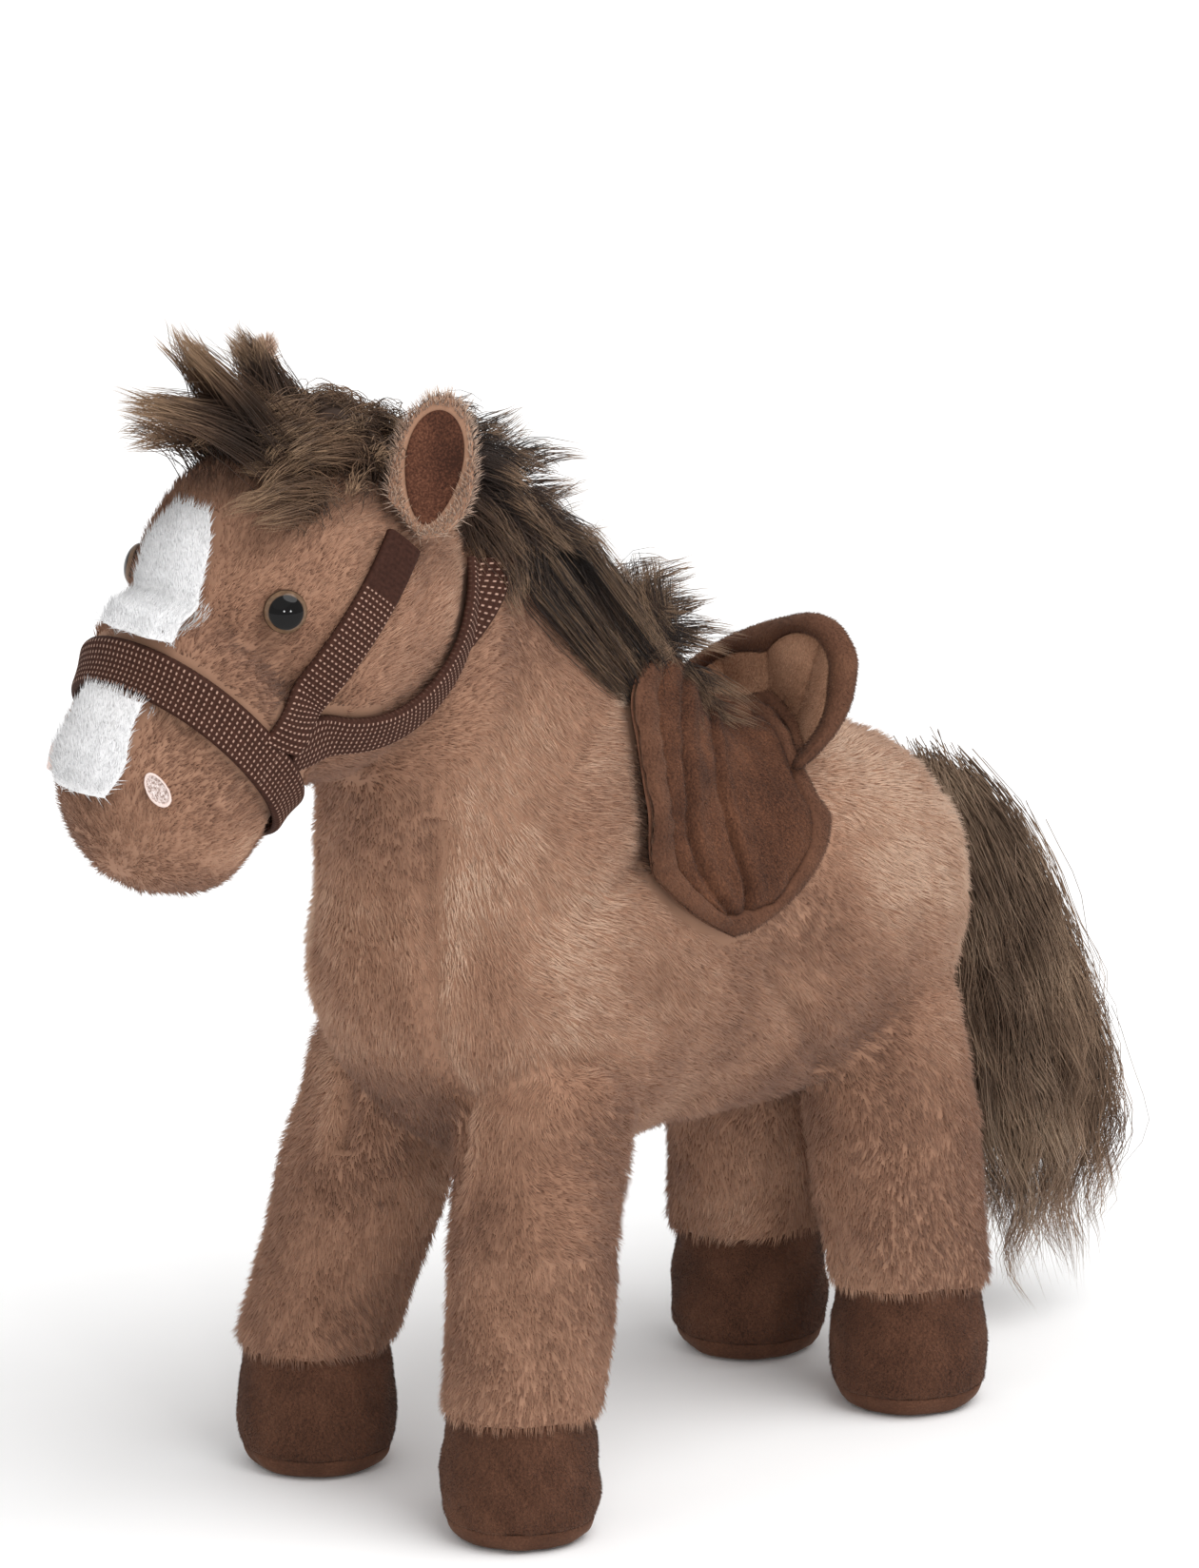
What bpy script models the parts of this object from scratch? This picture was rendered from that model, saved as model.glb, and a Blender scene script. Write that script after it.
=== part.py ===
"""Plush horse standing on four velour hooves, with a webbing halter and a velour saddle.

Metres, +Z up. The nose points to -Y and the horse's left side is +X. The origin is on the floor,
under the middle of the toy. Each stuffed section is one closed solid of cover and filling.
"""

from bisect import bisect_right
from math import cos, pi, radians, sin

import bmesh
import bpy
from mathutils import Matrix, Vector
from mathutils.bvhtree import BVHTree

# Fits
CLEARANCE = 0.0003
SHEET_LIFT = 0.0008
SHEET_CLEARANCE = 0.0005
SEAT_CLEARANCE = 0.0018
TURNING_CLEARANCE = 0.0006
CUTTER_REACH = 0.2

# Facets of the stuffed forms, along and around
TORSO_FACETS = (16, 26)
NECK_FACETS = (14, 22)
HEAD_FACETS = (14, 26)
MUZZLE_FACETS = (12, 24)
LEG_FACETS = 18
EYE_FACETS = 16

# Torso
TORSO_LENGTH = 0.221
TORSO_MIDDLE_Y = 0.0166
TORSO_HALF_WIDTH = 0.051
TORSO_HALF_HEIGHT = 0.058
TORSO_RISE = 0.033
TORSO_SHARES = (
    (0.0, 0.92, 1.0, 0.30),
    (0.22, 1.0, 1.0, 0.04),
    (0.5, 0.94, 0.97, 0.01),
    (0.78, 1.0, 0.94, -0.03),
    (1.0, 0.92, 0.86, -0.02),
)

# Neck: fixed below its bending seam, and moving with the head above it
NECK_BASE_AHEAD = 0.0435
NECK_BASE_RISE = 0.019
NECK_LENGTH_Y = 0.052
NECK_LENGTH_Z = 0.120
NECK_TILT = radians(30)
NECK_HALF_WIDTH = 0.046
NECK_HALF_DEPTH = 0.060
NECK_SHARES = (
    (0.0, 1.05, 1.15, 0.0),
    (0.3, 0.95, 1.01, 0.0),
    (0.6, 0.74, 0.76, 0.0),
    (0.8, 0.65, 0.66, 0.0),
    (1.0, 0.6, 0.6, 0.0),
)
NECK_PIVOT_SHARE = 0.8
NECK_SEAM_RADIUS = 0.052
NECK_SEAM_FACETS = 54
NECK_SEAM_FRONT = radians(222)
NECK_SEAM_REAR = radians(368)
NECK_NOD_DOWN = radians(12)
NECK_NOD_UP = radians(5)

# Head and muzzle
HEAD_AHEAD_OF_PIVOT = 0.0424
HEAD_ABOVE_PIVOT = 0.006
HEAD_RADIUS = 0.052
HEAD_HALF_WIDTH = 0.042
MUZZLE_START = 0.020
MUZZLE_REACH = 0.097
MUZZLE_DROP = radians(40.3)
MUZZLE_HALF_WIDTH = 0.034
MUZZLE_HALF_HEIGHT = 0.033
MUZZLE_SHARES = (
    (0.0, 1.25, 1.3, 0.30),
    (0.22, 1.18, 1.22, 0.24),
    (0.41, 1.0, 1.0, 0.15),
    (0.6, 0.95, 0.99, 0.05),
    (0.8, 0.92, 0.95, 0.0),
    (1.0, 0.8, 0.8, 0.0),
)

# Legs: the hips, then how far each foot stands out from its hip
HIP_HEIGHT = 0.113
FRONT_HIP_AHEAD = 0.0655
FRONT_HIP_OUT = 0.030
FRONT_HIP_RADIUS = 0.0265
FRONT_FOOT_AHEAD = 0.0195
FRONT_FOOT_OUT = 0.0115
HIND_HIP_BEHIND_SHARE = 0.301
HIND_HIP_OUT = 0.0235
HIND_HIP_RADIUS = 0.0245
HIND_FOOT_BEHIND = 0.005
HIND_FOOT_OUT = 0.0090
LEG_MIDDLE_RADIUS = 0.0255
LEG_CUFF_RADIUS = 0.0235
LEG_INNER_FLAT = 0.0025
LEG_SWING = radians(12)
CUFF_HEIGHT = 0.036
CUFF_POCKET_DEPTH = 0.008
CUFF_ROLL = 0.0025

# Hooves and soles
HOOF_RADIUS = 0.0215
HOOF_NECK_RADIUS = 0.0190
HOOF_WAIST_HEIGHT = 0.0150
SOLE_HEIGHT = 0.0065
SOLE_RADIUS = 0.0205
SOLE_FLAT_CUT = 0.0005
SOLE_FLAT_SHARE = 0.78

# Ears
EAR_HEIGHT = 0.040
EAR_HALF_WIDTH = 0.0118
EAR_THICKNESS = 0.0050
EAR_CUP = 0.0045
EAR_OUT_DEGREES = 47
EAR_LEAN_BACK = radians(11)
EAR_SPLAY = radians(9)
EAR_PLACE_SHARES = (0.82, 0.20, 0.43)
EAR_SHARES = (
    (0.0, 0.62, 1.0, 0.0),
    (0.25, 0.95, 1.0, 0.0),
    (0.45, 1.0, 1.0, 0.0),
    (0.7, 0.86, 0.9, 0.0),
    (0.88, 0.66, 0.8, 0.0),
    (1.0, 0.5, 0.7, 0.0),
)
EAR_FOLD = radians(15)
LINING_THICKNESS = 0.0012
LINING_WIDTH_SHARE = 0.74
LINING_HEIGHT_SHARES = (0.10, 0.90)
LINING_ROUND_SHARES = (0.44, 0.80, 0.96, 1.0, 1.0, 0.96, 0.80, 0.44)

# Eyes: safety eyes with a shank and a locking washer behind the cover
EYE_RADIUS = 0.0060
EYE_DOME_HEIGHT = 0.0036
EYE_SHANK_RADIUS = 0.0019
EYE_SHANK_LENGTH = 0.0110
EYE_WASHER_RADIUS = 0.0065
EYE_WASHER_THICKNESS = 0.0016
EYE_WASHER_DEPTH = 0.0050
EYE_DIRECTION_SHARES = (0.66, -0.71, 0.24)

# Nostrils, embroidered
NOSTRIL_HALF_WIDTH = 0.0034
NOSTRIL_HALF_HEIGHT = 0.0050
NOSTRIL_THICKNESS = 0.0007
NOSTRIL_PLACE_SHARE = 0.73
NOSTRIL_TURN = radians(44)

# White face panels
BLAZE_THICKNESS = 0.0012
BLAZE_TOP_ANGLE = radians(42)
BLAZE_HALF_WIDTH = 0.0145
BLAZE_SIDE_SHARES = ((0.0, 0.45), (0.25, 0.80), (0.6, 0.85), (1.0, 1.0))
BLAZE_NOSE_HALF_WIDTH = 0.0140
BLAZE_NOSE_SIDE_SHARES = ((0.0, 0.80), (0.4, 0.85), (0.75, 1.0), (1.0, 0.70))
BLAZE_NOSE_END_SHARE = 0.85

# Halter webbing
STRAP_WIDTH = 0.0120
STRAP_THICKNESS = 0.0014
STRAP_JOIN_GAP = 0.0024
NOSEBAND_PLACE_SHARE = 0.41
CHEEK_STRAP_TOP_SHARES = (0.74, 0.20, 0.54)
CHEEK_STRAP_END_SHARE = 0.80
THROAT_STRAP_SHARES = (
    (0.90, -0.47, -0.60),
    (0.88, 0.0, -0.58),
    (0.83, 0.45, -0.36),
    (0.75, 0.76, -0.04),
    (0.67, 0.93, 0.19),
)

# Mane, forelock and tail: long-pile pieces
MANE_HALF_WIDTH = 0.030
MANE_HALF_HEIGHT = 0.026
MANE_START_BEHIND = 0.042
MANE_START_RISE = 0.0275
MANE_LENGTH_Y = 0.086
MANE_LENGTH_Z = 0.088
MANE_PARTING = radians(14)
MANE_PARTING_GAP = radians(5.6)
MANE_CUT_START = 0.010
MANE_SHARES = (
    (0.0, 0.75, 0.75, 0.0),
    (0.3, 1.0, 1.0, 0.0),
    (0.7, 1.0, 1.0, 0.0),
    (1.0, 0.8, 0.7, 0.0),
)
FORELOCK_HALF_WIDTH = 0.0245
FORELOCK_HALF_HEIGHT = 0.0185
FORELOCK_BACK = 0.030
FORELOCK_REAR_RISE = 0.040
FORELOCK_LENGTH_Y = 0.084
FORELOCK_LENGTH_Z = 0.036
FORELOCK_SHARES = (
    (0.0, 0.8, 0.8, 0.0),
    (0.35, 1.0, 1.0, 0.0),
    (0.7, 0.8, 0.75, 0.0),
    (1.0, 0.25, 0.3, 0.15),
)
TAIL_LENGTH = 0.160
TAIL_HALF_WIDTH = 0.0235
TAIL_HALF_DEPTH = 0.0270
TAIL_ROOT_RISE = 0.024
TAIL_STAND_OFF = 0.036
TAIL_PIVOT_OFF = 0.003
TAIL_PIVOT_DROP = 0.004
TAIL_LIFT = radians(55)
TAIL_SHARES = (
    (0.0, 0.60, 0.60, -1.42),
    (0.12, 0.80, 0.80, -0.82),
    (0.35, 1.0, 1.0, -0.10),
    (0.65, 1.0, 1.0, 0.12),
    (0.85, 0.85, 0.85, 0.20),
    (1.0, 0.6, 0.6, 0.25),
)

# Saddle: a seat over the back, a flap on each side and a padded cantle
SADDLE_THICKNESS = 0.0034
SADDLE_PANEL_THICKNESS = 0.0026
SADDLE_BORDER = 0.0065
SADDLE_FRONT_AHEAD = 0.0405
SADDLE_REAR_BEHIND = 0.0315
SADDLE_REACH = radians(76)
SADDLE_TAUT = 8
SADDLE_SHARES = (
    (0.0, -0.06, 1.30),
    (0.10, 0.12, 1.28),
    (0.20, 0.55, 1.20),
    (0.30, 0.93, 1.10),
    (0.42, 0.99, 0.97),
    (0.50, 1.00, 0.94),
    (0.59, 0.98, 0.98),
    (0.65, 0.94, 0.99),
    (0.72, 0.87, 0.91),
    (0.84, 0.70, 0.62),
    (0.94, 0.47, 0.25),
    (1.0, 0.30, -0.16),
)
SADDLE_PANEL_SHARES = (0.16, 0.90)
CANTLE_SIDE = 0.004
CANTLE_HALF_WIDTH = 0.0350
CANTLE_HEIGHT = 0.0340
CANTLE_THICKNESS = 0.0080
CANTLE_CURL = 0.0200
CANTLE_BEHIND = 0.0465
CANTLE_BASE_RISE = 0.0520
CANTLE_MIDDLE_SHARE = 0.42
CANTLE_ROUND_SHARES = (
    (0, -1), (0.5, -1), (0.82, -0.95), (0.95, -0.6), (1, 0), (0.95, 0.6), (0.82, 0.95), (0.5, 1), (0, 1),
)
CANTLE_SHARES = (
    (0.98, 0.05), (1.0, 0.25), (0.96, 0.5), (0.92, 0.74), (0.80, 0.90),
    (0.66, 0.985), (0.42, 1.0), (0.12, 0.90), (-0.20, 0.76), (-0.50, 0.60),
    (-0.75, 0.42), (-0.92, 0.22), (-1.0, 0.02), (-0.95, -0.14), (-0.70, -0.10),
    (-0.35, 0.0), (0.0, 0.02), (0.35, 0.0), (0.70, -0.10), (0.90, -0.08),
)

LOOKS = {
    "plush": ((0.262, 0.165, 0.112), 0.95),
    "white_plush": ((0.78, 0.78, 0.80), 0.95),
    "velour": ((0.105, 0.040, 0.018), 0.85),
    "hoof_velour": ((0.070, 0.031, 0.018), 0.85),
    "lining_velour": ((0.075, 0.022, 0.012), 0.85),
    "long_pile": ((0.082, 0.058, 0.043), 0.90),
    "webbing": ((0.060, 0.030, 0.024), 0.70),
    "nostril_thread": ((0.72, 0.52, 0.47), 0.60),
    "eye_plastic": ((0.010, 0.006, 0.005), 0.08),
    "washer_plastic": ((0.70, 0.70, 0.68), 0.50),
}

UP = Vector((0, 0, 1))
SIDE = Vector((1, 0, 0))


def clear_scene():
    for thing in list(bpy.data.objects):
        bpy.data.objects.remove(thing, do_unlink=True)


def look(name):
    """The material of one kind of cloth or plastic, made at its first use."""
    found = bpy.data.materials.get(name)
    if found:
        return found
    colour, roughness = LOOKS[name]
    made = bpy.data.materials.new(name)
    made.use_nodes = True
    shader = made.node_tree.nodes["Principled BSDF"]
    shader.inputs["Base Color"].default_value = (*colour, 1)
    shader.inputs["Roughness"].default_value = roughness
    shader.inputs["Metallic"].default_value = 0
    made.diffuse_color = (*colour, 1)
    return made


def add(name, points, faces, finish):
    """A smooth-shaded object from points and faces, with every face turned outward."""
    mesh = bpy.data.meshes.new(name)
    mesh.from_pydata([tuple(point) for point in points], [], faces)
    shape = bmesh.new()
    shape.from_mesh(mesh)
    bmesh.ops.recalc_face_normals(shape, faces=shape.faces)
    shape.to_mesh(mesh)
    shape.free()
    mesh.shade_smooth()
    mesh.set_sharp_from_angle(angle=radians(50))
    made = bpy.data.objects.new(name, mesh)
    bpy.context.scene.collection.objects.link(made)
    if finish:
        mesh.materials.append(look(finish))
    return made


def as_cutter(thing):
    thing.hide_render = True
    thing.display_type = "WIRE"
    return thing


def cut(target, *cutters):
    for cutter in cutters:
        step = target.modifiers.new("cut_by_" + cutter.name, "BOOLEAN")
        step.operation = "DIFFERENCE"
        step.solver = "EXACT"
        step.object = cutter


def pivot(name, place):
    """An empty on a joint's axis, which carries the pieces that turn there."""
    made = bpy.data.objects.new(name, None)
    made.location = place
    made.empty_display_size = CUFF_ROLL
    bpy.context.scene.collection.objects.link(made)
    return made


def carry(carrier, *pieces):
    for piece in pieces:
        piece.parent = carrier
        piece.matrix_parent_inverse = Matrix.Translation(-carrier.location)


def read_shares(rows, place):
    """The shares at a place, on a smooth curve through rows of (place, share, ...)."""
    last = len(rows) - 2
    found = min(max(bisect_right([row[0] for row in rows], place) - 1, 0), last)
    before, after = rows[max(found - 1, 0)], rows[min(found + 2, last + 1)]
    start, end = rows[found], rows[found + 1]
    span = end[0] - start[0]
    at = (place - start[0]) / span
    shares = []
    for column in range(1, len(start)):
        leaving = (end[column] - before[column]) / (end[0] - before[0]) * span
        arriving = (after[column] - start[column]) / (after[0] - start[0]) * span
        rise = end[column] - start[column]
        curve = leaving * at * (1 - at) ** 2 - arriving * at**2 * (1 - at)
        shares.append(start[column] + rise * at**2 * (3 - 2 * at) + curve)
    return shares


def rounded(value, power):
    """A cosine or sine pushed outward, so that a section is fuller than an ellipse."""
    return abs(value) ** power * (1 if value >= 0 else -1)


class Form:
    """A stuffed form: sections along a straight spine, which swell, taper and close in round ends."""

    def __init__(
        self, start, end, up, half_width, half_height, shares, fullness=1.0, end_power=4, side=SIDE, cup=0
    ):
        self.start, self.end, self.up, self.side = Vector(start), Vector(end), Vector(up), Vector(side)
        self.half_width, self.half_height, self.cup = half_width, half_height, cup
        self.shares, self.fullness, self.end_power = shares, fullness, end_power

    def centre(self, place, grow=0):
        reach = self.end - self.start
        longer = reach.normalized() * grow * (2 * place - 1)
        lift = read_shares(self.shares, place)[2] * self.half_height
        return self.start + reach * place + longer + self.up * lift

    def point(self, place, turn, grow=0):
        width, height, _ = read_shares(self.shares, place)
        ends = max(0, 1 - abs(2 * place - 1) ** self.end_power) ** 0.5
        across = (self.half_width * width * ends + grow) * rounded(cos(turn), self.fullness)
        upward = (self.half_height * height * ends + grow) * rounded(sin(turn), self.fullness)
        upward += self.cup * (across / self.half_width) ** 2
        return self.centre(place, grow) + self.side * across + self.up * upward

    def rings(self, count, turns, grow=0):
        places = [(1 - cos(pi * step / count)) / 2 for step in range(count + 1)]
        angles = [2 * pi * step / turns for step in range(turns)]
        middle = [[self.point(place, angle, grow) for angle in angles] for place in places[1:-1]]
        return [[self.centre(0, grow)], *middle, [self.centre(1, grow)]]

    def solid(self, name, finish, count, turns, grow=0):
        return loft(name, self.rings(count, turns, grow), finish)

    def surface(self, count, turns):
        """The form as a surface that sheets are laid on."""
        return BVHTree.FromPolygons(*loft_faces(self.rings(count, turns)))


def outside(thing):
    """An object's own surface, for sheets laid on it."""
    mesh = thing.data
    faces = [face.vertices[:] for face in mesh.polygons]
    return BVHTree.FromPolygons([point.co for point in mesh.vertices], faces)


def loft_faces(rings):
    """Points and faces that join closed rings of points in order; an end ring may be one point."""
    points = [point for ring in rings for point in ring]
    starts = [sum(len(ring) for ring in rings[:step]) for step in range(len(rings))]
    faces = []
    for lower, upper, first, second in zip(rings, rings[1:], starts, starts[1:]):
        around = max(len(lower), len(upper))
        for step in range(around):
            after = (step + 1) % around
            if len(lower) == 1:
                faces.append((first, second + step, second + after))
            elif len(upper) == 1:
                faces.append((first + step, second, first + after))
            else:
                faces.append((first + step, second + step, second + after, first + after))
    for ring, start in ((rings[0], 0), (rings[-1], starts[-1])):
        if len(ring) > 1:
            faces.append(tuple(range(start, start + len(ring))))
    return points, faces


def loft(name, rings, finish):
    return add(name, *loft_faces(rings), finish)


def turned(name, profile, centre, axis, finish, turns=LEG_FACETS, hollow=False):
    """A round solid about an axis, from a profile of (distance along the axis, radius).

    A hollow one is a ring: its profile closes on itself.
    """
    frame = Vector(axis).normalized().to_track_quat("Z", "Y").to_matrix()
    rings = []
    for along, radius in profile:
        angles = [2 * pi * step / turns for step in range(turns)] if radius else [0]
        ring = [frame @ Vector((radius * cos(angle), radius * sin(angle), along)) for angle in angles]
        rings.append([Vector(centre) + point for point in ring])
    if not hollow:
        return loft(name, rings, finish)
    points, faces = loft_faces([*rings, rings[0]])
    last = len(points) - turns
    walls = [tuple(corner % last for corner in face) for face in faces[:-2]]
    return add(name, points[:last], walls, finish)


def hull(name, points):
    """The smallest convex solid round some points, used as a cutter."""
    shape = bmesh.new()
    for point in points:
        shape.verts.new(point)
    found = bmesh.ops.convex_hull(shape, input=shape.verts)
    loose = [part for part in found["geom_interior"] if isinstance(part, bmesh.types.BMVert)]
    bmesh.ops.delete(shape, geom=loose, context="VERTS")
    points = [vert.co.copy() for vert in shape.verts]
    shape.verts.index_update()
    faces = [tuple(vert.index for vert in face.verts) for face in shape.faces]
    shape.free()
    return as_cutter(add(name, points, faces, None))


def swept(points, place, axis, angles):
    """Points turned about an axis to each angle: where they pass as a joint moves."""
    found = []
    for angle in angles:
        turn = Matrix.Rotation(angle, 3, axis)
        found += [place + turn @ (point - place) for point in points]
    return found


def land(aim, outward, surfaces):
    """The outermost point of the surfaces under a point, seen from outside, and its normal."""
    outward = outward.normalized()
    best = None
    for surface in surfaces:
        place, normal, _, distance = surface.ray_cast(aim + outward * CUTTER_REACH, -outward)
        if place and (best is None or distance < best[2]):
            best = (place, normal, distance)
    if best is None:
        return aim, outward
    place, normal, _ = best
    return place, normal if normal.dot(outward) > 0 else -normal


def clear_between(lower, rows, surfaces, closed):
    """Raise the points of a sheet's underside where the places between them dip into the surfaces."""
    count, across = len(lower), len(lower[0])
    for step in range(count if closed else count - 1):
        for side in range(across - 1):
            after = (step + 1) % count
            corners = [(step, side), (step, side + 1), (after, side), (after, side + 1)]
            edges = (corners[:2], corners[2:], corners[::2], corners[1::2], corners[1:3], corners[::3])
            for group in (corners, *edges):
                middle = sum((lower[row][column] for row, column in group), Vector()) / len(group)
                outward = sum((rows[row][column][1].normalized() for row, column in group), Vector())
                outward.normalize()
                place, _ = land(middle, outward, surfaces)
                short = SHEET_CLEARANCE + (place - middle).dot(outward)
                if short > 0:
                    for row, column in group:
                        lower[row][column] += outward * short


def sheet(name, rows, surfaces, finish, thickness, lift=SHEET_LIFT, closed=False, edge_share=1.0, taut=0):
    """A closed sheet laid on surfaces. Rows hold (aim, outward) pairs; closed rows join at their ends.

    A taut one is drawn across hollows instead of following them.
    """
    landed = [[land(aim, outward, surfaces) for aim, outward in row] for row in rows]
    lower = [[place + normal * lift for place, normal in row] for row in landed]
    count, across = len(lower), len(lower[0])
    for turn in range(taut + 3):
        if turn < taut:
            before = [row[:] for row in lower]
            for step in range(1, count - 1):
                for side in range(1, across - 1):
                    beside = before[step - 1][side] + before[step + 1][side]
                    lower[step][side] = (beside + before[step][side - 1] + before[step][side + 1]) / 4
        clear_between(lower, rows, surfaces, closed)

    def at(step, side):
        step = step % count if closed else min(max(step, 0), count - 1)
        return lower[step][min(max(side, 0), across - 1)]

    upper = []
    for step in range(count):
        line = []
        for side in range(across):
            along = at(step + 1, side) - at(step - 1, side)
            over = at(step, side + 1) - at(step, side - 1)
            normal = along.cross(over).normalized()
            if normal.dot(landed[step][side][1]) < 0:
                normal = -normal
            border = side in (0, across - 1) or (not closed and step in (0, count - 1))
            line.append(lower[step][side] + normal * thickness * (edge_share if border else 1))
        upper.append(line)
    rings = []
    for below, above in zip(lower, upper):
        rings.append([*below, *reversed(above)])
    points = [point for ring in rings for point in ring]
    around = 2 * across
    faces = []
    for step in range(count if closed else count - 1):
        first, second = step * around, (step + 1) % count * around
        for side in range(around):
            after = (side + 1) % around
            faces.append((first + side, second + side, second + after, first + after))
    if not closed:
        for start in (0, (count - 1) * around):
            for side in range(across - 1):
                over = start + around - 1 - side
                faces.append((start + side, start + side + 1, over - 1, over))
    return add(name, points, faces, finish)


def curve_through(points, count):
    """Places spaced evenly along a smooth curve through the points."""
    rows = [(step / (len(points) - 1), *point) for step, point in enumerate(points)]
    return [Vector(read_shares(rows, step / (count - 1))) for step in range(count)]


def strap_rows(path, centre, width):
    """Rows of three aims across a strap whose middle follows a path round a centre."""
    rows = []
    for step, place in enumerate(path):
        along = path[min(step + 1, len(path) - 1)] - path[max(step - 1, 0)]
        outward = (place - centre).normalized()
        across = outward.cross(along).normalized() * width / 2
        rows.append([(place + across * side, outward) for side in (-1, 0, 1)])
    return rows


def turned_copy(cutter, name, place, axis, angle):
    """The same cutter, turned about a joint's axis."""
    made = bpy.data.objects.new(name, cutter.data)
    bpy.context.scene.collection.objects.link(made)
    turn = Matrix.Rotation(angle, 4, axis)
    made.matrix_world = Matrix.Translation(place) @ turn @ Matrix.Translation(-place)
    return as_cutter(made)


def sector(name, centre, inner, first, last, steps=28):
    """A wide slice of a ring about the X direction, from one angle to another, used as a cutter."""
    outer = inner + CUTTER_REACH
    rings = []
    for step in range(steps + 1):
        angle = first + (last - first) * step / steps
        along = Vector((0, cos(angle), sin(angle)))
        near, far = centre + along * inner, centre + along * outer
        across = SIDE * CUTTER_REACH
        rings.append([near - across, near + across, far + across, far - across])
    return as_cutter(loft(name, rings, None))


def mirrored(value, side):
    return Vector((value[0] * side, value[1], value[2]))


def torso_form():
    middle = Vector((0, TORSO_MIDDLE_Y, HIP_HEIGHT + TORSO_RISE))
    half = Vector((0, TORSO_LENGTH / 2, 0))
    return Form(middle - half, middle + half, UP, TORSO_HALF_WIDTH, TORSO_HALF_HEIGHT, TORSO_SHARES, 0.9, 5)


def neck_form(torso_middle):
    base = torso_middle + Vector((0, -NECK_BASE_AHEAD, NECK_BASE_RISE))
    top = base + Vector((0, -NECK_LENGTH_Y, NECK_LENGTH_Z))
    tilted = (0, cos(NECK_TILT), sin(NECK_TILT))
    return Form(base, top, tilted, NECK_HALF_WIDTH, NECK_HALF_DEPTH, NECK_SHARES, 0.95, 8)


def head_form(centre):
    """An egg turned about the X direction."""
    half = SIDE * HEAD_HALF_WIDTH
    round_shares = ((0, 1, 1, 0), (1, 1, 1, 0))
    across = Vector((0, -1, 0))
    return Form(centre - half, centre + half, UP, HEAD_RADIUS, HEAD_RADIUS, round_shares, 1.0, 2, across)


def muzzle_form(centre):
    forward = Vector((0, -cos(MUZZLE_DROP), -sin(MUZZLE_DROP)))
    upward = (0, -sin(MUZZLE_DROP), cos(MUZZLE_DROP))
    start, end = centre + forward * MUZZLE_START, centre + forward * MUZZLE_REACH
    return Form(start, end, upward, MUZZLE_HALF_WIDTH, MUZZLE_HALF_HEIGHT, MUZZLE_SHARES, 0.95, 3)


def mane_form(head_centre):
    """The mane's line, from the poll down the crest to the front of the saddle."""
    start = head_centre + Vector((0, MANE_START_BEHIND, MANE_START_RISE))
    end = start + Vector((0, MANE_LENGTH_Y, -MANE_LENGTH_Z))
    upward = Vector((0, MANE_LENGTH_Z, MANE_LENGTH_Y)).normalized()
    return Form(start, end, upward, MANE_HALF_WIDTH, MANE_HALF_HEIGHT, MANE_SHARES, 1.0, 4)


def forelock_form(head_centre):
    start = head_centre + Vector((0, FORELOCK_BACK, FORELOCK_REAR_RISE))
    end = start + Vector((0, -FORELOCK_LENGTH_Y, FORELOCK_LENGTH_Z))
    upward = Vector((0, FORELOCK_LENGTH_Z, FORELOCK_LENGTH_Y)).normalized()
    half_sizes = (FORELOCK_HALF_WIDTH, FORELOCK_HALF_HEIGHT)
    return Form(start, end, upward, *half_sizes, FORELOCK_SHARES, 1.0, 3)


def tail_form(torso_middle):
    start = torso_middle + Vector((0, TORSO_LENGTH / 2 + TAIL_STAND_OFF, TAIL_ROOT_RISE))
    end = start - UP * TAIL_LENGTH
    return Form(start, end, (0, 1, 0), TAIL_HALF_WIDTH, TAIL_HALF_DEPTH, TAIL_SHARES, 1.0, 5)


def leg_rings(hip, foot, hip_radius, side, grow=0, pocket=True, turns=LEG_FACETS):
    """A leg's rings: a round head about the hip, the shaft, and a cuff with a pocket for the hoof.

    Rings with other facets than the leg's own go round the outside of its facets.
    """
    inner = LEG_INNER_FLAT - grow
    wider = 1 if turns == LEG_FACETS else 1 / cos(pi / turns)

    def ring(centre, radius):
        radius *= wider
        angles = [2 * pi * step / turns for step in range(turns)]
        points = [centre + Vector((radius * cos(angle), radius * sin(angle), 0)) for angle in angles]
        return [Vector((side * max(side * point.x, inner), point.y, point.z)) for point in points]

    rings = [[hip + UP * (hip_radius + grow)]]
    for step in range(1, 6):
        angle = pi / 2 * (1 - step / 5)
        rings.append(ring(hip + UP * sin(angle) * (hip_radius + grow), (hip_radius + grow) * cos(angle)))
    cuff_top = CUFF_HEIGHT + CUFF_ROLL
    radii = ((0, hip_radius), (0.45, LEG_MIDDLE_RADIUS), (1, LEG_CUFF_RADIUS))
    for step in range(1, 6):
        place = step / 5
        centre = hip.lerp(Vector((foot.x, foot.y, cuff_top)), place)
        rings.append(ring(centre, read_shares(radii, place)[0] + grow))
    under = Vector((foot.x, foot.y, CUFF_HEIGHT - grow))
    rings.append(ring(under, LEG_CUFF_RADIUS - CUFF_ROLL / 2 + grow))
    if not pocket:
        return [*rings, [under]]
    roof = Vector((foot.x, foot.y, CUFF_HEIGHT + CUFF_POCKET_DEPTH))
    rings.append(ring(under, HOOF_NECK_RADIUS + CLEARANCE))
    rings.append(ring(roof, HOOF_NECK_RADIUS + CLEARANCE))
    return [*rings, [roof]]


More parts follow.
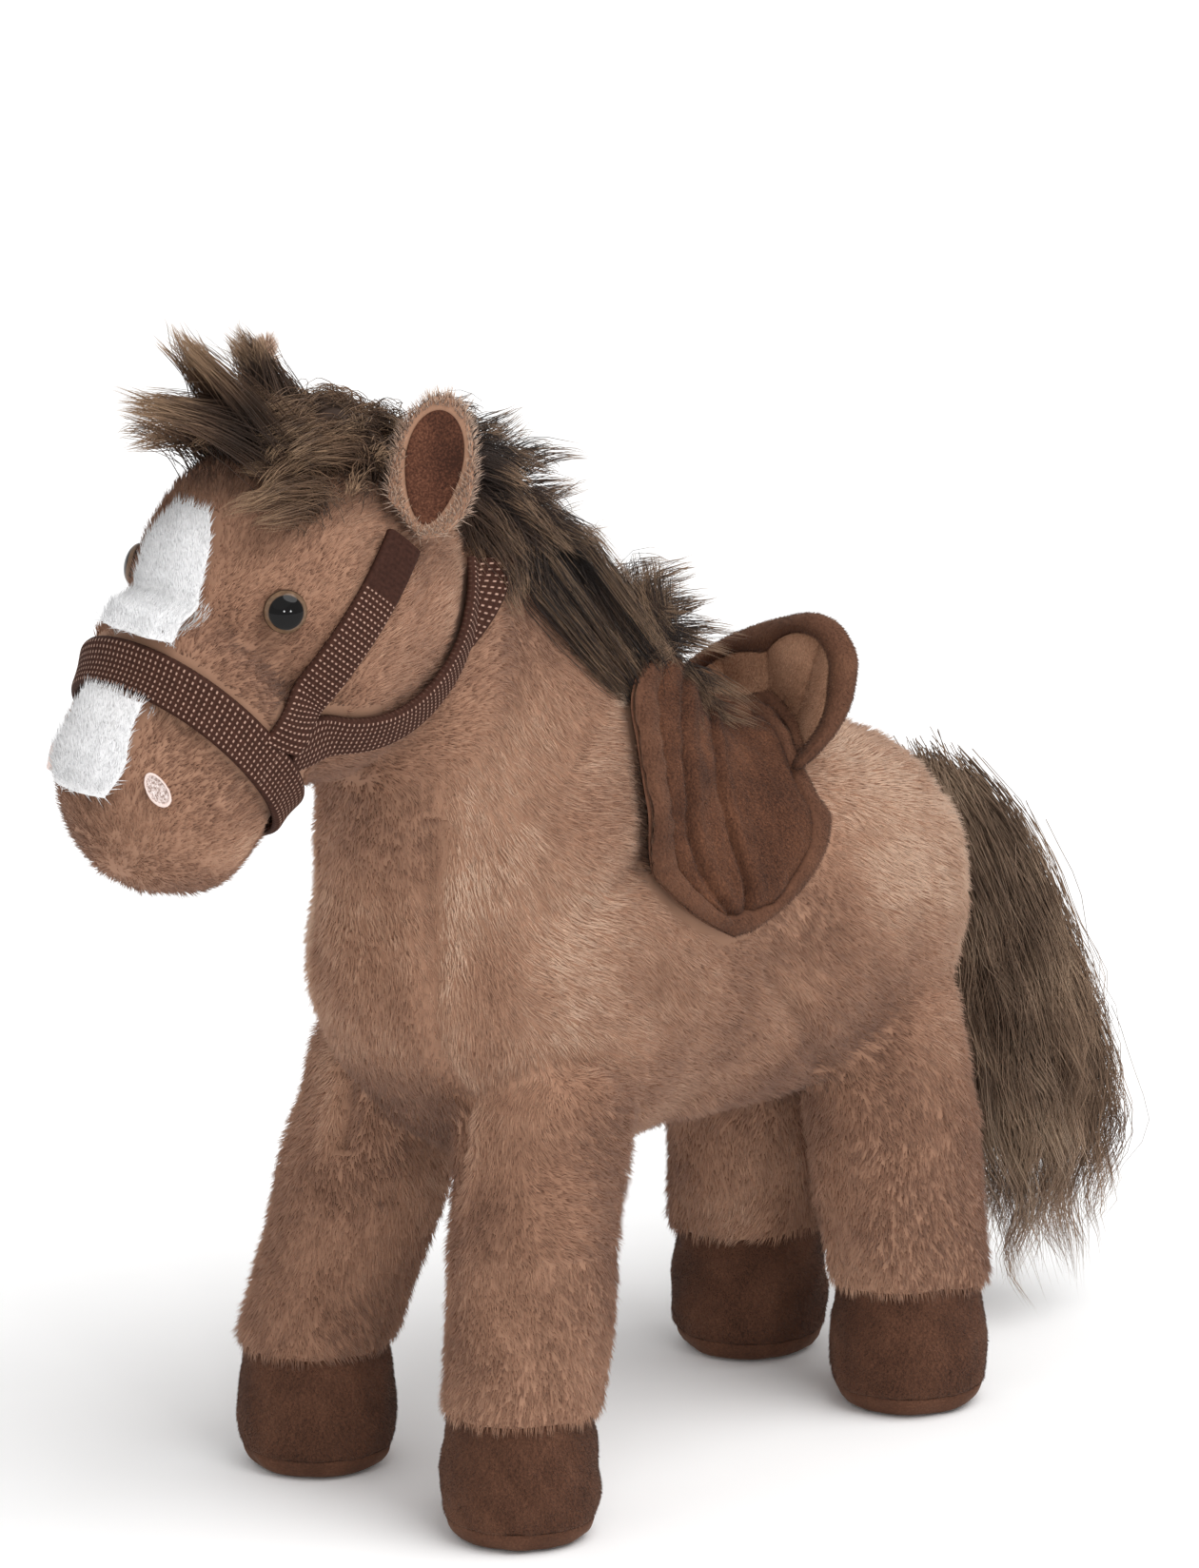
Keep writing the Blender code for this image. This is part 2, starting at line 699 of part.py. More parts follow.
def make_leg(name, torso, hip, foot, hip_radius, side):
    """A leg that swings about its hip, its velour hoof and the hoof's sole."""
    leg = loft("leg_" + name, leg_rings(hip, foot, hip_radius, side), "plush")
    rings = leg_rings(hip, foot, hip_radius, side, TURNING_CLEARANCE, False, LEG_FACETS - 4)
    outer = [point for ring in rings for point in ring]
    angles = [LEG_SWING * share for share in (-1, 0, 1)]
    cut(torso, hull("swing_" + name, swept(outer, hip, "X", angles)))

    seam = SOLE_HEIGHT + CLEARANCE
    top = CUFF_HEIGHT + CUFF_POCKET_DEPTH - CLEARANCE
    waist = HOOF_WAIST_HEIGHT
    cuff_share = (CUFF_HEIGHT - waist) / (top - waist)
    profile = [(seam, 0), (seam, SOLE_RADIUS), (seam + (waist - seam) / 3, (SOLE_RADIUS + HOOF_RADIUS) / 2)]
    radii = ((0, HOOF_RADIUS), (0.5, (HOOF_RADIUS + HOOF_NECK_RADIUS) / 2), (cuff_share, HOOF_NECK_RADIUS))
    for step in range(4):
        radius = read_shares(radii, cuff_share * step / 3)[0]
        profile.append((waist + (CUFF_HEIGHT - waist) * step / 3, radius))
    profile += [(top, HOOF_NECK_RADIUS - CUFF_ROLL / 2), (top, 0)]
    ground = Vector((foot.x, foot.y, 0))
    hoof = turned("hoof_" + name, profile, ground, UP, "hoof_velour")

    flat = SOLE_RADIUS * SOLE_FLAT_SHARE
    rise = [(0, 0), (0, flat), (SOLE_FLAT_CUT, (flat + SOLE_RADIUS) / 2), (SOLE_HEIGHT / 2, SOLE_RADIUS)]
    profile = [*rise, (SOLE_HEIGHT, SOLE_RADIUS), (SOLE_HEIGHT, 0)]
    sole = turned("sole_" + name, profile, ground, UP, "hoof_velour")
    carry(pivot("swing_of_leg_" + name, hip), leg, hoof, sole)


def make_legs(torso, torso_middle):
    for side, side_name in ((1, "left"), (-1, "right")):
        hip = Vector((side * FRONT_HIP_OUT, torso_middle.y - FRONT_HIP_AHEAD, HIP_HEIGHT))
        foot = hip + Vector((side * FRONT_FOOT_OUT, -FRONT_FOOT_AHEAD, 0))
        make_leg("front_" + side_name, torso, hip, foot, FRONT_HIP_RADIUS, side)
        hind_y = torso_middle.y + TORSO_LENGTH * HIND_HIP_BEHIND_SHARE
        hip = Vector((side * HIND_HIP_OUT, hind_y, HIP_HEIGHT))
        foot = hip + Vector((side * HIND_FOOT_OUT, HIND_FOOT_BEHIND, 0))
        make_leg("hind_" + side_name, torso, hip, foot, HIND_HIP_RADIUS, side)


def make_ear(side, side_name, head_centre, surfaces, head_room):
    """A cupped ear with its velvet lining. It folds about the line where it is sewn on."""
    place_share = mirrored(EAR_PLACE_SHARES, side)
    sizes = (HEAD_HALF_WIDTH, HEAD_RADIUS, HEAD_RADIUS)
    outward = Vector([share * size for share, size in zip(place_share, sizes)])
    seat, normal = land(head_centre, outward, surfaces)
    turn = radians(EAR_OUT_DEGREES)
    facing = Vector((side * sin(turn), -cos(turn), 0))
    across = Vector((side * cos(turn), sin(turn), 0))
    upward = (UP * cos(EAR_LEAN_BACK) - facing * sin(EAR_LEAN_BACK) + across * sin(EAR_SPLAY)).normalized()
    across = (across - upward * across.dot(upward)).normalized()
    facing = across.cross(upward) * side
    if facing.y > 0:
        facing = -facing
    base = seat + normal * SHEET_LIFT
    form = Form(
        base, base + upward * EAR_HEIGHT, facing, EAR_HALF_WIDTH, EAR_THICKNESS / 2,
        EAR_SHARES, 1.0, 6, across, EAR_CUP,
    )
    ear = form.solid("ear_" + side_name, "plush", 10, 14)
    cut(ear, head_room)
    front = [form.surface(10, 14)]
    rows = []
    low, high = LINING_HEIGHT_SHARES
    for step in range(8):
        place = low + (high - low) * step / 7
        width = EAR_HALF_WIDTH * read_shares(EAR_SHARES, place)[0] * LINING_WIDTH_SHARE
        width *= LINING_ROUND_SHARES[step]
        middle = form.centre(place)
        rows.append([(middle + across * width * share, facing) for share in (-1, -0.5, 0, 0.5, 1)])
    lining = sheet(
        "ear_lining_" + side_name, rows, front, "lining_velour", LINING_THICKNESS, CLEARANCE, edge_share=0.6
    )
    hinge = base + upward * EAR_THICKNESS / 2
    carry(pivot("fold_of_ear_" + side_name, hinge), ear, lining)
    for step, share in enumerate((-1, 1)):
        name = "room_for_folded_ear_" + side_name + str(step)
        cut(ear, turned_copy(head_room, name, hinge, across, EAR_FOLD * share))
    room = [point for ring in form.rings(10, 14, TURNING_CLEARANCE) for point in ring]
    angles = [EAR_FOLD * share for share in (-1, 0, 1)]
    return hull("room_for_ear_" + side_name, swept(room, hinge, across, angles))


def make_eye(side, side_name, head, centre, surfaces):
    """A domed safety eye whose shank passes through the cover into a locking washer."""
    place, normal = land(centre, mirrored(EYE_DIRECTION_SHARES, side), surfaces)
    profile = [(-EYE_SHANK_LENGTH, 0), (-EYE_SHANK_LENGTH, EYE_SHANK_RADIUS), (CLEARANCE, EYE_SHANK_RADIUS)]
    for step in range(5):
        angle = pi / 2 * step / 5
        profile.append((CLEARANCE + EYE_DOME_HEIGHT * sin(angle), EYE_RADIUS * cos(angle)))
    profile.append((CLEARANCE + EYE_DOME_HEIGHT, 0))
    eye = turned("eye_" + side_name, profile, place, normal, "eye_plastic", EYE_FACETS)
    outer, inner = EYE_WASHER_RADIUS, EYE_SHANK_RADIUS + CLEARANCE
    near, far = -EYE_WASHER_DEPTH, -EYE_WASHER_DEPTH - EYE_WASHER_THICKNESS
    washer = turned(
        "eye_washer_" + side_name, [(far, inner), (far, outer), (near, outer), (near, inner)],
        place, normal, "washer_plastic", EYE_FACETS, hollow=True,
    )
    hole = EYE_SHANK_RADIUS + CLEARANCE
    room = outer + CLEARANCE
    chamber = [
        (EYE_SHANK_LENGTH, 0), (EYE_SHANK_LENGTH, hole), (near + CLEARANCE, hole), (near + CLEARANCE, room),
        (far - CLEARANCE, room), (far - CLEARANCE, hole), (-EYE_SHANK_LENGTH - CLEARANCE, hole),
        (-EYE_SHANK_LENGTH - CLEARANCE, 0),
    ]
    cut(head, as_cutter(turned("room_for_eye_" + side_name, chamber, place, normal, None, EYE_FACETS)))
    return [eye, washer]


def make_nostril(side, side_name, form, surfaces):
    """An embroidered oval on the side of the muzzle."""
    turn = pi / 2 - side * (pi / 2 - NOSTRIL_TURN)
    aim = form.point(NOSTRIL_PLACE_SHARE, turn)
    outward = (aim - form.centre(NOSTRIL_PLACE_SHARE)).normalized()
    upward = (UP - outward * outward.z).normalized()
    across = outward.cross(upward)
    rows = []
    for step in range(7):
        angle = pi * (step + 0.5) / 7
        height, width = NOSTRIL_HALF_HEIGHT * cos(angle), NOSTRIL_HALF_WIDTH * sin(angle)
        rows.append([(aim + upward * height + across * width * share, outward) for share in (-1, 0, 1)])
    return sheet("nostril_" + side_name, rows, surfaces, "nostril_thread", NOSTRIL_THICKNESS)


def make_blaze(head_centre, muzzle, surfaces):
    """The white panels of the face, above and below the noseband."""
    band = STRAP_WIDTH / 2 + SHEET_LIFT * 2
    reach = MUZZLE_REACH - MUZZLE_START
    bridge = muzzle.point(NOSEBAND_PLACE_SHARE - band / reach, pi / 2) - head_centre
    rows = []
    for step in range(8):
        place = step / 7
        width = BLAZE_HALF_WIDTH * read_shares(BLAZE_SIDE_SHARES, place)[0]
        start = Vector((0, -cos(BLAZE_TOP_ANGLE), sin(BLAZE_TOP_ANGLE))) * HEAD_RADIUS
        aim = start.lerp(bridge, place)
        outward = aim.normalized()
        rows.append([(head_centre + aim + SIDE * width * share, outward) for share in (-1, -0.5, 0, 0.5, 1)])
    forehead = sheet("blaze_forehead", rows, surfaces, "white_plush", BLAZE_THICKNESS, edge_share=0.6)
    rows = []
    first = NOSEBAND_PLACE_SHARE + band / reach
    for step in range(7):
        place = step / 6
        along = first + (BLAZE_NOSE_END_SHARE - first) * place
        width = BLAZE_NOSE_HALF_WIDTH * read_shares(BLAZE_NOSE_SIDE_SHARES, place)[0]
        aim = muzzle.point(along, pi / 2)
        outward = (aim - muzzle.centre(NOSEBAND_PLACE_SHARE)).normalized()
        rows.append([(aim + SIDE * width * share, outward) for share in (-1, -0.5, 0, 0.5, 1)])
    nose = sheet("blaze_nose", rows, surfaces, "white_plush", BLAZE_THICKNESS, edge_share=0.6)
    return [forehead, nose]


def make_halter(muzzle, head_centre, face, surfaces):
    """Webbing: a noseband round the muzzle, cheek straps to the ears and throat straps to the mane."""
    reach = MUZZLE_REACH - MUZZLE_START
    half = STRAP_WIDTH / 2 / reach
    rows = []
    for step in range(28):
        turn = 2 * pi * step / 28
        row = []
        for share in (-1, 0, 1):
            place = NOSEBAND_PLACE_SHARE + half * share
            aim = muzzle.point(place, turn)
            outward = muzzle.point(NOSEBAND_PLACE_SHARE, turn) - muzzle.centre(NOSEBAND_PLACE_SHARE)
            row.append((aim, outward))
        rows.append(row)
    pieces = [sheet("noseband", rows, face, "webbing", STRAP_THICKNESS, closed=True)]
    start_place = NOSEBAND_PLACE_SHARE - (STRAP_WIDTH / 2 + STRAP_JOIN_GAP) / reach
    for side, side_name in ((1, "left"), (-1, "right")):
        sizes = (side * HEAD_HALF_WIDTH, HEAD_RADIUS, HEAD_RADIUS)
        top = Vector([share * size for share, size in zip(CHEEK_STRAP_TOP_SHARES, sizes)])
        ear, _ = land(head_centre, top, face)
        start = muzzle.point(start_place, pi / 2 - side * pi / 2)
        path = curve_through([start, start.lerp(ear, 0.5), start.lerp(ear, CHEEK_STRAP_END_SHARE)], 9)
        rows = strap_rows(path, head_centre, STRAP_WIDTH)
        cheek = sheet("cheek_strap_" + side_name, rows, surfaces, "webbing", STRAP_THICKNESS)
        points = [head_centre + Vector([share * size for share, size in zip(shares, sizes)])
                  for shares in THROAT_STRAP_SHARES]
        path = curve_through(points, 14)
        rows = strap_rows(path, head_centre, STRAP_WIDTH)
        throat = sheet("throat_strap_" + side_name, rows, surfaces, "webbing", STRAP_THICKNESS)
        pieces += [cheek, throat]
    return pieces


def saddle_rows(torso_middle, first, last, steps, columns, inset=0):
    """Rows of aims from one angle round the torso's line to another, each from the front edge to the rear."""
    rows = []
    for step in range(steps + 1):
        share = first + (last - first) * step / steps
        front, rear = read_shares(SADDLE_SHARES, abs(share))
        front = torso_middle.y - SADDLE_FRONT_AHEAD * front + inset
        rear = torso_middle.y + SADDLE_REAR_BEHIND * rear - inset
        outward = Vector((sin(SADDLE_REACH * share), 0, cos(SADDLE_REACH * share)))
        rows.append([])
        for column in range(columns + 1):
            y = front + (rear - front) * column / columns
            rows[-1].append((Vector((0, y, torso_middle.z)) + outward * TORSO_HALF_HEIGHT, outward))
    return rows


def make_saddle(torso_middle, surfaces, torso_room, mane_room):
    """A pad over the back, a puffy panel on each side of it and the padded cantle behind the seat."""
    rows = saddle_rows(torso_middle, -1, 1, 26, 8)
    pad = sheet("saddle_pad", rows, surfaces, "velour", SADDLE_THICKNESS, edge_share=0.7, taut=SADDLE_TAUT)
    low, high = SADDLE_PANEL_SHARES
    for side, side_name in ((1, "left"), (-1, "right")):
        rows = saddle_rows(torso_middle, side * low, side * high, 12, 7, SADDLE_BORDER)
        name = "saddle_panel_" + side_name
        lift = SHEET_LIFT + CLEARANCE
        panel = sheet(
            name, rows, [outside(pad)], "velour", SADDLE_PANEL_THICKNESS, lift, edge_share=0.4, taut=1
        )
        cut(panel, mane_room)
    base = torso_middle + Vector((CANTLE_SIDE, CANTLE_BEHIND, CANTLE_BASE_RISE))
    cut(loft("saddle_cantle", cantle_rings(base), "velour"), torso_room)
    cut(pad, mane_room, as_cutter(loft("room_for_cantle", cantle_rings(base, SEAT_CLEARANCE), None)))


def cantle_rings(base, grow=0):
    """Rings of a rounded cushion, from the middle of its front over the rim to the middle of its back."""
    sizes = (CANTLE_HALF_WIDTH, CANTLE_HEIGHT)
    outline = [Vector((sizes[0] * across, 0, sizes[1] * rise)) for across, rise in CANTLE_SHARES]
    middle = Vector((0, 0, CANTLE_HEIGHT * CANTLE_MIDDLE_SHARE))
    outline = [point + (point - middle).normalized() * grow for point in outline]
    half = CANTLE_THICKNESS / 2 + grow
    rings = []
    for spread, depth in CANTLE_ROUND_SHARES:
        ring = []
        for point in outline if spread else outline[:1]:
            place = middle.lerp(point, spread)
            low = max(0, 1 - place.z / CANTLE_HEIGHT)
            place.y = depth * half - CANTLE_CURL * (place.x / CANTLE_HALF_WIDTH) ** 2 * low**3
            ring.append(base + place)
        rings.append(ring)
    return rings


def build():
    clear_scene()
    torso_shape = torso_form()
    torso_middle = (torso_shape.start + torso_shape.end) / 2
    neck_shape = neck_form(torso_middle)
    bend = neck_shape.centre(NECK_PIVOT_SHARE)
    head_centre = bend + Vector((0, -HEAD_AHEAD_OF_PIVOT, HEAD_ABOVE_PIVOT))
    head_shape, muzzle_shape = head_form(head_centre), muzzle_form(head_centre)
    beyond = NECK_SEAM_RADIUS + TURNING_CLEARANCE

    torso = torso_shape.solid("torso", "plush", *TORSO_FACETS)
    make_legs(torso, torso_middle)

    neck_lower = neck_shape.solid("neck_lower", "plush", *NECK_FACETS)
    neck_upper = neck_shape.solid("neck_upper", "plush", *NECK_FACETS)
    head = head_shape.solid("head", "plush", *HEAD_FACETS)
    muzzle = muzzle_shape.solid("muzzle", "plush", *MUZZLE_FACETS)
    profile = [(-CUTTER_REACH, 0), (-CUTTER_REACH, beyond), (CUTTER_REACH, beyond), (CUTTER_REACH, 0)]
    seam_room = as_cutter(turned("room_for_neck_seam", profile, bend, SIDE, None, NECK_SEAM_FACETS))
    cradle = sector("cradle_of_neck", bend, NECK_SEAM_RADIUS, NECK_SEAM_FRONT, NECK_SEAM_REAR)
    torso_room = as_cutter(torso_shape.solid("room_for_torso", None, *TORSO_FACETS, CLEARANCE))
    neck_room = as_cutter(neck_shape.solid("room_for_neck", None, *NECK_FACETS, CLEARANCE))
    head_room = as_cutter(head_shape.solid("room_for_head", None, *HEAD_FACETS, CLEARANCE))
    muzzle_room = as_cutter(muzzle_shape.solid("room_for_muzzle", None, *MUZZLE_FACETS, CLEARANCE))
    head_points = [point for ring in head_shape.rings(*HEAD_FACETS, TURNING_CLEARANCE) for point in ring]
    nods = [-NECK_NOD_UP, 0, NECK_NOD_DOWN / 2, NECK_NOD_DOWN]
    head_sweep = hull("sweep_of_head", swept(head_points, bend, "X", nods))
    cut(neck_lower, torso_room, seam_room, head_sweep)
    cut(neck_upper, cradle, head_room, muzzle_room)
    cut(muzzle, head_room)

    neck_surface = neck_shape.surface(*NECK_FACETS)
    face = [head_shape.surface(*HEAD_FACETS), muzzle_shape.surface(*MUZZLE_FACETS)]
    head_pieces = [neck_upper, head, muzzle]
    ears = {}
    for side, side_name in ((1, "left"), (-1, "right")):
        head_pieces += make_eye(side, side_name, head, head_centre, face)
        head_pieces.append(make_nostril(side, side_name, muzzle_shape, face))
        ears[side] = make_ear(side, side_name, head_centre, face, head_room)
    head_pieces += make_blaze(head_centre, muzzle_shape, face)
    head_pieces += make_halter(muzzle_shape, head_centre, face, [*face, neck_surface])

    forelock = forelock_form(head_centre).solid("forelock", "long_pile", 10, 14)
    cut(forelock, head_room, ears[1], ears[-1])
    mane_shape = mane_form(head_centre)
    mane_upper = mane_shape.solid("mane_upper", "long_pile", 10, 16)
    mane_lower = mane_shape.solid("mane_lower", "long_pile", 10, 16)
    parting = (MANE_PARTING - MANE_PARTING_GAP / 2, MANE_PARTING + MANE_PARTING_GAP / 2)
    above = sector("side_of_mane_above", bend, MANE_CUT_START, parting[0], pi, 12)
    below = sector("side_of_mane_below", bend, MANE_CUT_START, -pi / 2, parting[1], 12)
    cut(mane_upper, neck_room, head_room, below)
    mane_room = as_cutter(mane_shape.solid("room_for_mane", None, 10, 16, CLEARANCE))
    back = [torso_shape.surface(*TORSO_FACETS), neck_surface]
    make_saddle(torso_middle, back, torso_room, mane_room)
    cut(mane_lower, neck_room, torso_room, seam_room, above)
    folds = [bpy.data.objects["fold_of_ear_" + side_name] for side_name in ("left", "right")]
    head_pieces += [forelock, mane_upper, *folds]
    carry(pivot("bend_of_neck", bend), *head_pieces)

    tail_shape = tail_form(torso_middle)
    tail = tail_shape.solid("tail", "long_pile", 12, 16)
    cut(tail, torso_room)
    hinge = torso_middle + Vector((0, TORSO_LENGTH / 2 + TAIL_PIVOT_OFF, TAIL_ROOT_RISE - TAIL_PIVOT_DROP))
    for step, share in enumerate((0.25, 0.5, 0.75, 1)):
        cut(tail, turned_copy(torso_room, "room_for_lifted_tail" + str(step), hinge, "X", -TAIL_LIFT * share))
    carry(pivot("swing_of_tail", hinge), tail)


build()
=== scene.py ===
"""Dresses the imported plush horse: plush skins with real strands, long hair, webbing, velour and eyes."""

from math import cos, pi, radians, sin

import bpy
import numpy as np
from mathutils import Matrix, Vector
from mathutils.bvhtree import BVHTree
from mathutils.kdtree import KDTree


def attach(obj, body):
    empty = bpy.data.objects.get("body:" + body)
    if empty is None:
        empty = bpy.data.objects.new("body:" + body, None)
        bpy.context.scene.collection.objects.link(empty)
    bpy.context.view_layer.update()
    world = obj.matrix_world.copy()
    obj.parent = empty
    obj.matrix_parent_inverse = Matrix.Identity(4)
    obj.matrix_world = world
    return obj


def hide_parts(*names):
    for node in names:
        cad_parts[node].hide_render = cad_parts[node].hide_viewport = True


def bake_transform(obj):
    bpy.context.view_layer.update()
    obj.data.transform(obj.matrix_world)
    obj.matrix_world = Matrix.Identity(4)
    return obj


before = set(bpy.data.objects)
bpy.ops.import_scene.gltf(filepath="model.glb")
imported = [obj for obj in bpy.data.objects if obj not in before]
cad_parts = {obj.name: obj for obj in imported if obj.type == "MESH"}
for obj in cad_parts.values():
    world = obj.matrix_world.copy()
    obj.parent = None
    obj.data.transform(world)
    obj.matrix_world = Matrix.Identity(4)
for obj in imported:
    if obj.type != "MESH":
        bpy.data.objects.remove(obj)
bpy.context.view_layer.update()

UP = np.array((0.0, 0.0, 1.0))
SIDE = np.array((1.0, 0.0, 0.0))
SIDES = ((1, "left"), (-1, "right"))

# The forms of the source, in metres
TORSO_MIDDLE = np.array((0, 0.0166, 0.146))
TORSO_LENGTH = 0.221
TORSO_HALVES = (0.051, 0.058)
TORSO_SHARES = (
    (0.0, 0.92, 1.0, 0.30), (0.22, 1.0, 1.0, 0.04), (0.5, 0.94, 0.97, 0.01), (0.78, 1.0, 0.94, -0.03),
    (1.0, 0.92, 0.86, -0.02),
)
NECK_BASE = TORSO_MIDDLE + (0, -0.0435, 0.019)
NECK_RUN = np.array((0, -0.052, 0.120))
NECK_TILT = radians(30)
NECK_HALVES = (0.046, 0.060)
NECK_SHARES = (
    (0.0, 1.05, 1.15, 0.0), (0.3, 0.95, 1.01, 0.0), (0.6, 0.74, 0.76, 0.0), (0.8, 0.65, 0.66, 0.0),
    (1.0, 0.6, 0.6, 0.0),
)
HEAD_CENTRE = NECK_BASE + NECK_RUN * 0.8 + (0, -0.0424, 0.006)
HEAD_RADIUS = 0.052
HEAD_HALF_WIDTH = 0.042
MUZZLE_SPAN = (0.020, 0.097)
MUZZLE_DROP = radians(40.3)
MUZZLE_FORWARD = np.array((0, -cos(MUZZLE_DROP), -sin(MUZZLE_DROP)))
MUZZLE_UP = np.array((0, -sin(MUZZLE_DROP), cos(MUZZLE_DROP)))
MUZZLE_HALVES = (0.034, 0.033)
MUZZLE_SHARES = (
    (0.0, 1.25, 1.3, 0.30), (0.22, 1.18, 1.22, 0.24), (0.41, 1.0, 1.0, 0.15), (0.6, 0.95, 0.99, 0.05),
    (0.8, 0.92, 0.95, 0.0), (1.0, 0.8, 0.8, 0.0),
)
# Each pair of legs: the left hip's centre, the left foot's place and the hip's radius
LEGS = {
    "front": ((0.030, -0.0489, 0.113), (0.0415, -0.0684), 0.0265),
    "hind": ((0.0235, 0.0831, 0.113), (0.0325, 0.0881), 0.0245),
}
LEG_MIDDLE_RADIUS, LEG_CUFF_RADIUS, CUFF_HEIGHT = 0.0255, 0.0235, 0.036
LEG_GAP = 0.0035

# Where the skins part and bend, and where the chest's gusset is sewn in
LEG_PART = 0.082
NECK_NORMAL = np.array((0, -0.6, 0.8))
NECK_PART = 0.200
GUSSET_HALF = 0.0235
THROAT_MIDDLE, THROAT_WIDTH = (0, -0.084, 0.183), 0.020


def srgb(red, green, blue):
    """A colour as it is seen, 0 to 255, as the linear values that shaders take."""
    parts = np.array((red, green, blue)) / 255
    linear = np.where(parts <= 0.04045, parts / 12.92, ((parts + 0.055) / 1.055) ** 2.4)
    return (*linear.tolist(), 1.0)


def tones(*rows):
    """A ramp's stops from rows of place, red, green and blue."""
    return [(place, srgb(*colour)) for place, *colour in rows]


def greys(*rows):
    return [(place, (value, value, value, 1)) for place, value in rows]


def rising(value, start, width):
    """0 up to a start, 1 from a width above it, and straight in between."""
    return np.clip((value - start) / width, 0, 1)


def falling(value, end, width):
    """1 up to a width below an end, 0 above the end, and straight in between."""
    return np.clip((end - value) / width, 0, 1)


def bell(distance, width):
    return np.exp(-((distance / width) ** 2))


def unit(vectors):
    return vectors / np.maximum(np.linalg.norm(vectors, axis=-1, keepdims=True), 1e-12)


def around(count):
    return np.linspace(0, 2 * pi, count, endpoint=False)


def circle(count):
    """Directions all round, on the level."""
    angles = around(count)
    return np.stack([np.cos(angles), np.sin(angles), 0 * angles], -1)


def spread(rows, place):
    """The shares at places, on smooth curves through rows of (place, share, ...)."""
    table = np.array(rows, float)
    place = np.atleast_1d(np.asarray(place, float))
    last = len(rows) - 2
    found = np.clip(np.searchsorted(table[:, 0], place, "right") - 1, 0, last)
    before, after = table[np.maximum(found - 1, 0)], table[np.minimum(found + 2, last + 1)]
    start, end = table[found], table[found + 1]
    span = (end[:, 0] - start[:, 0])[:, None]
    at = (place - start[:, 0])[:, None] / span
    leaving = (end - before) / (end[:, :1] - before[:, :1]) * span
    arriving = (after - start) / (after[:, :1] - start[:, :1]) * span
    curve = leaving * at * (1 - at) ** 2 - arriving * at**2 * (1 - at)
    return (start + (end - start) * at**2 * (3 - 2 * at) + curve)[:, 1:].T


def ripple(points, size, seed):
    """A smooth value between about -1 and 1 at each point, which varies over about that size."""
    random = np.random.default_rng(seed)
    total = 0
    for _ in range(6):
        direction = unit(random.normal(size=3)) / size * random.uniform(0.7, 1.5)
        total = total + np.sin(points @ direction * 2 * pi + random.uniform(0, 2 * pi))
    return total / 2.6


def grid_faces(rows, columns, offset=0, closed=True):
    """Quads between the rows of a grid of points; closed rows join at their ends."""
    row = np.arange(rows - 1)[:, None]
    column = np.arange(columns if closed else columns - 1)[None, :]
    after = (column + 1) % columns
    low, high = row * columns, (row + 1) * columns
    corners = (low + column, high + column, high + after, low + after)
    corners = [np.broadcast_to(corner, (rows - 1, column.size)) for corner in corners]
    return np.stack(corners, -1).reshape(-1, 4) + offset


class Form:
    """A stuffed form along a straight spine, as in the source."""

    def __init__(self, start, end, up, halves, shares, fullness=1.0, end_power=4, side=SIDE):
        self.start, self.end, self.up, self.side = (np.array(value) for value in (start, end, up, side))
        self.halves, self.shares, self.fullness, self.end_power = halves, shares, fullness, end_power

    def points(self, place, turn, grow=0):
        place, turn = (np.atleast_1d(value).astype(float) for value in (place, turn))
        place, turn = np.broadcast_arrays(place, turn)
        width, height, lift = (share.reshape(place.shape) for share in spread(self.shares, place.ravel()))
        ends = np.sqrt(np.maximum(0, 1 - np.abs(2 * place - 1) ** self.end_power))

        def push(value):
            return np.sign(value) * np.abs(value) ** self.fullness

        across = (self.halves[0] * width * ends + grow) * push(np.cos(turn))
        upward = (self.halves[1] * height * ends + grow) * push(np.sin(turn)) + lift * self.halves[1]
        run = self.end - self.start
        along = place[..., None] * run + unit(run) * (grow * (2 * place - 1))[..., None]
        return self.start + along + self.side * across[..., None] + self.up * upward[..., None]

    def middle(self, place):
        """Points on the spine, lifted as the form is."""
        place = np.asarray(place, float)
        lift = spread(self.shares, place.ravel())[2].reshape(place.shape) * self.halves[1]
        return self.start + (self.end - self.start) * place[..., None] + self.up * lift[..., None]

    def surface(self, count, turns, grow=0):
        """Points and faces of the whole form."""
        places = (1 - np.cos(np.linspace(0, pi, count + 1))) / 2
        points = self.points(places[:, None], around(turns)[None, :], grow)
        return points.reshape(-1, 3), grid_faces(count + 1, turns)


half = np.array((0, TORSO_LENGTH / 2, 0))
torso = Form(TORSO_MIDDLE - half, TORSO_MIDDLE + half, UP, TORSO_HALVES, TORSO_SHARES, 0.9, 5)
neck_up = (0, cos(NECK_TILT), sin(NECK_TILT))
neck = Form(NECK_BASE, NECK_BASE + NECK_RUN, neck_up, NECK_HALVES, NECK_SHARES, 0.95, 8)
half = SIDE * HEAD_HALF_WIDTH
head = Form(HEAD_CENTRE - half, HEAD_CENTRE + half, UP, (HEAD_RADIUS, HEAD_RADIUS),
            ((0, 1, 1, 0), (1, 1, 1, 0)), 1, 2, (0, -1, 0))
start, end = (HEAD_CENTRE + MUZZLE_FORWARD * reach for reach in MUZZLE_SPAN)
muzzle = Form(start, end, MUZZLE_UP, MUZZLE_HALVES, MUZZLE_SHARES, 0.95, 3)


def add_attribute(mesh, name, values):
    layer = mesh.attributes.new(name, "FLOAT", "POINT")
    layer.data.foreach_set("value", np.asarray(values, np.float32).ravel())


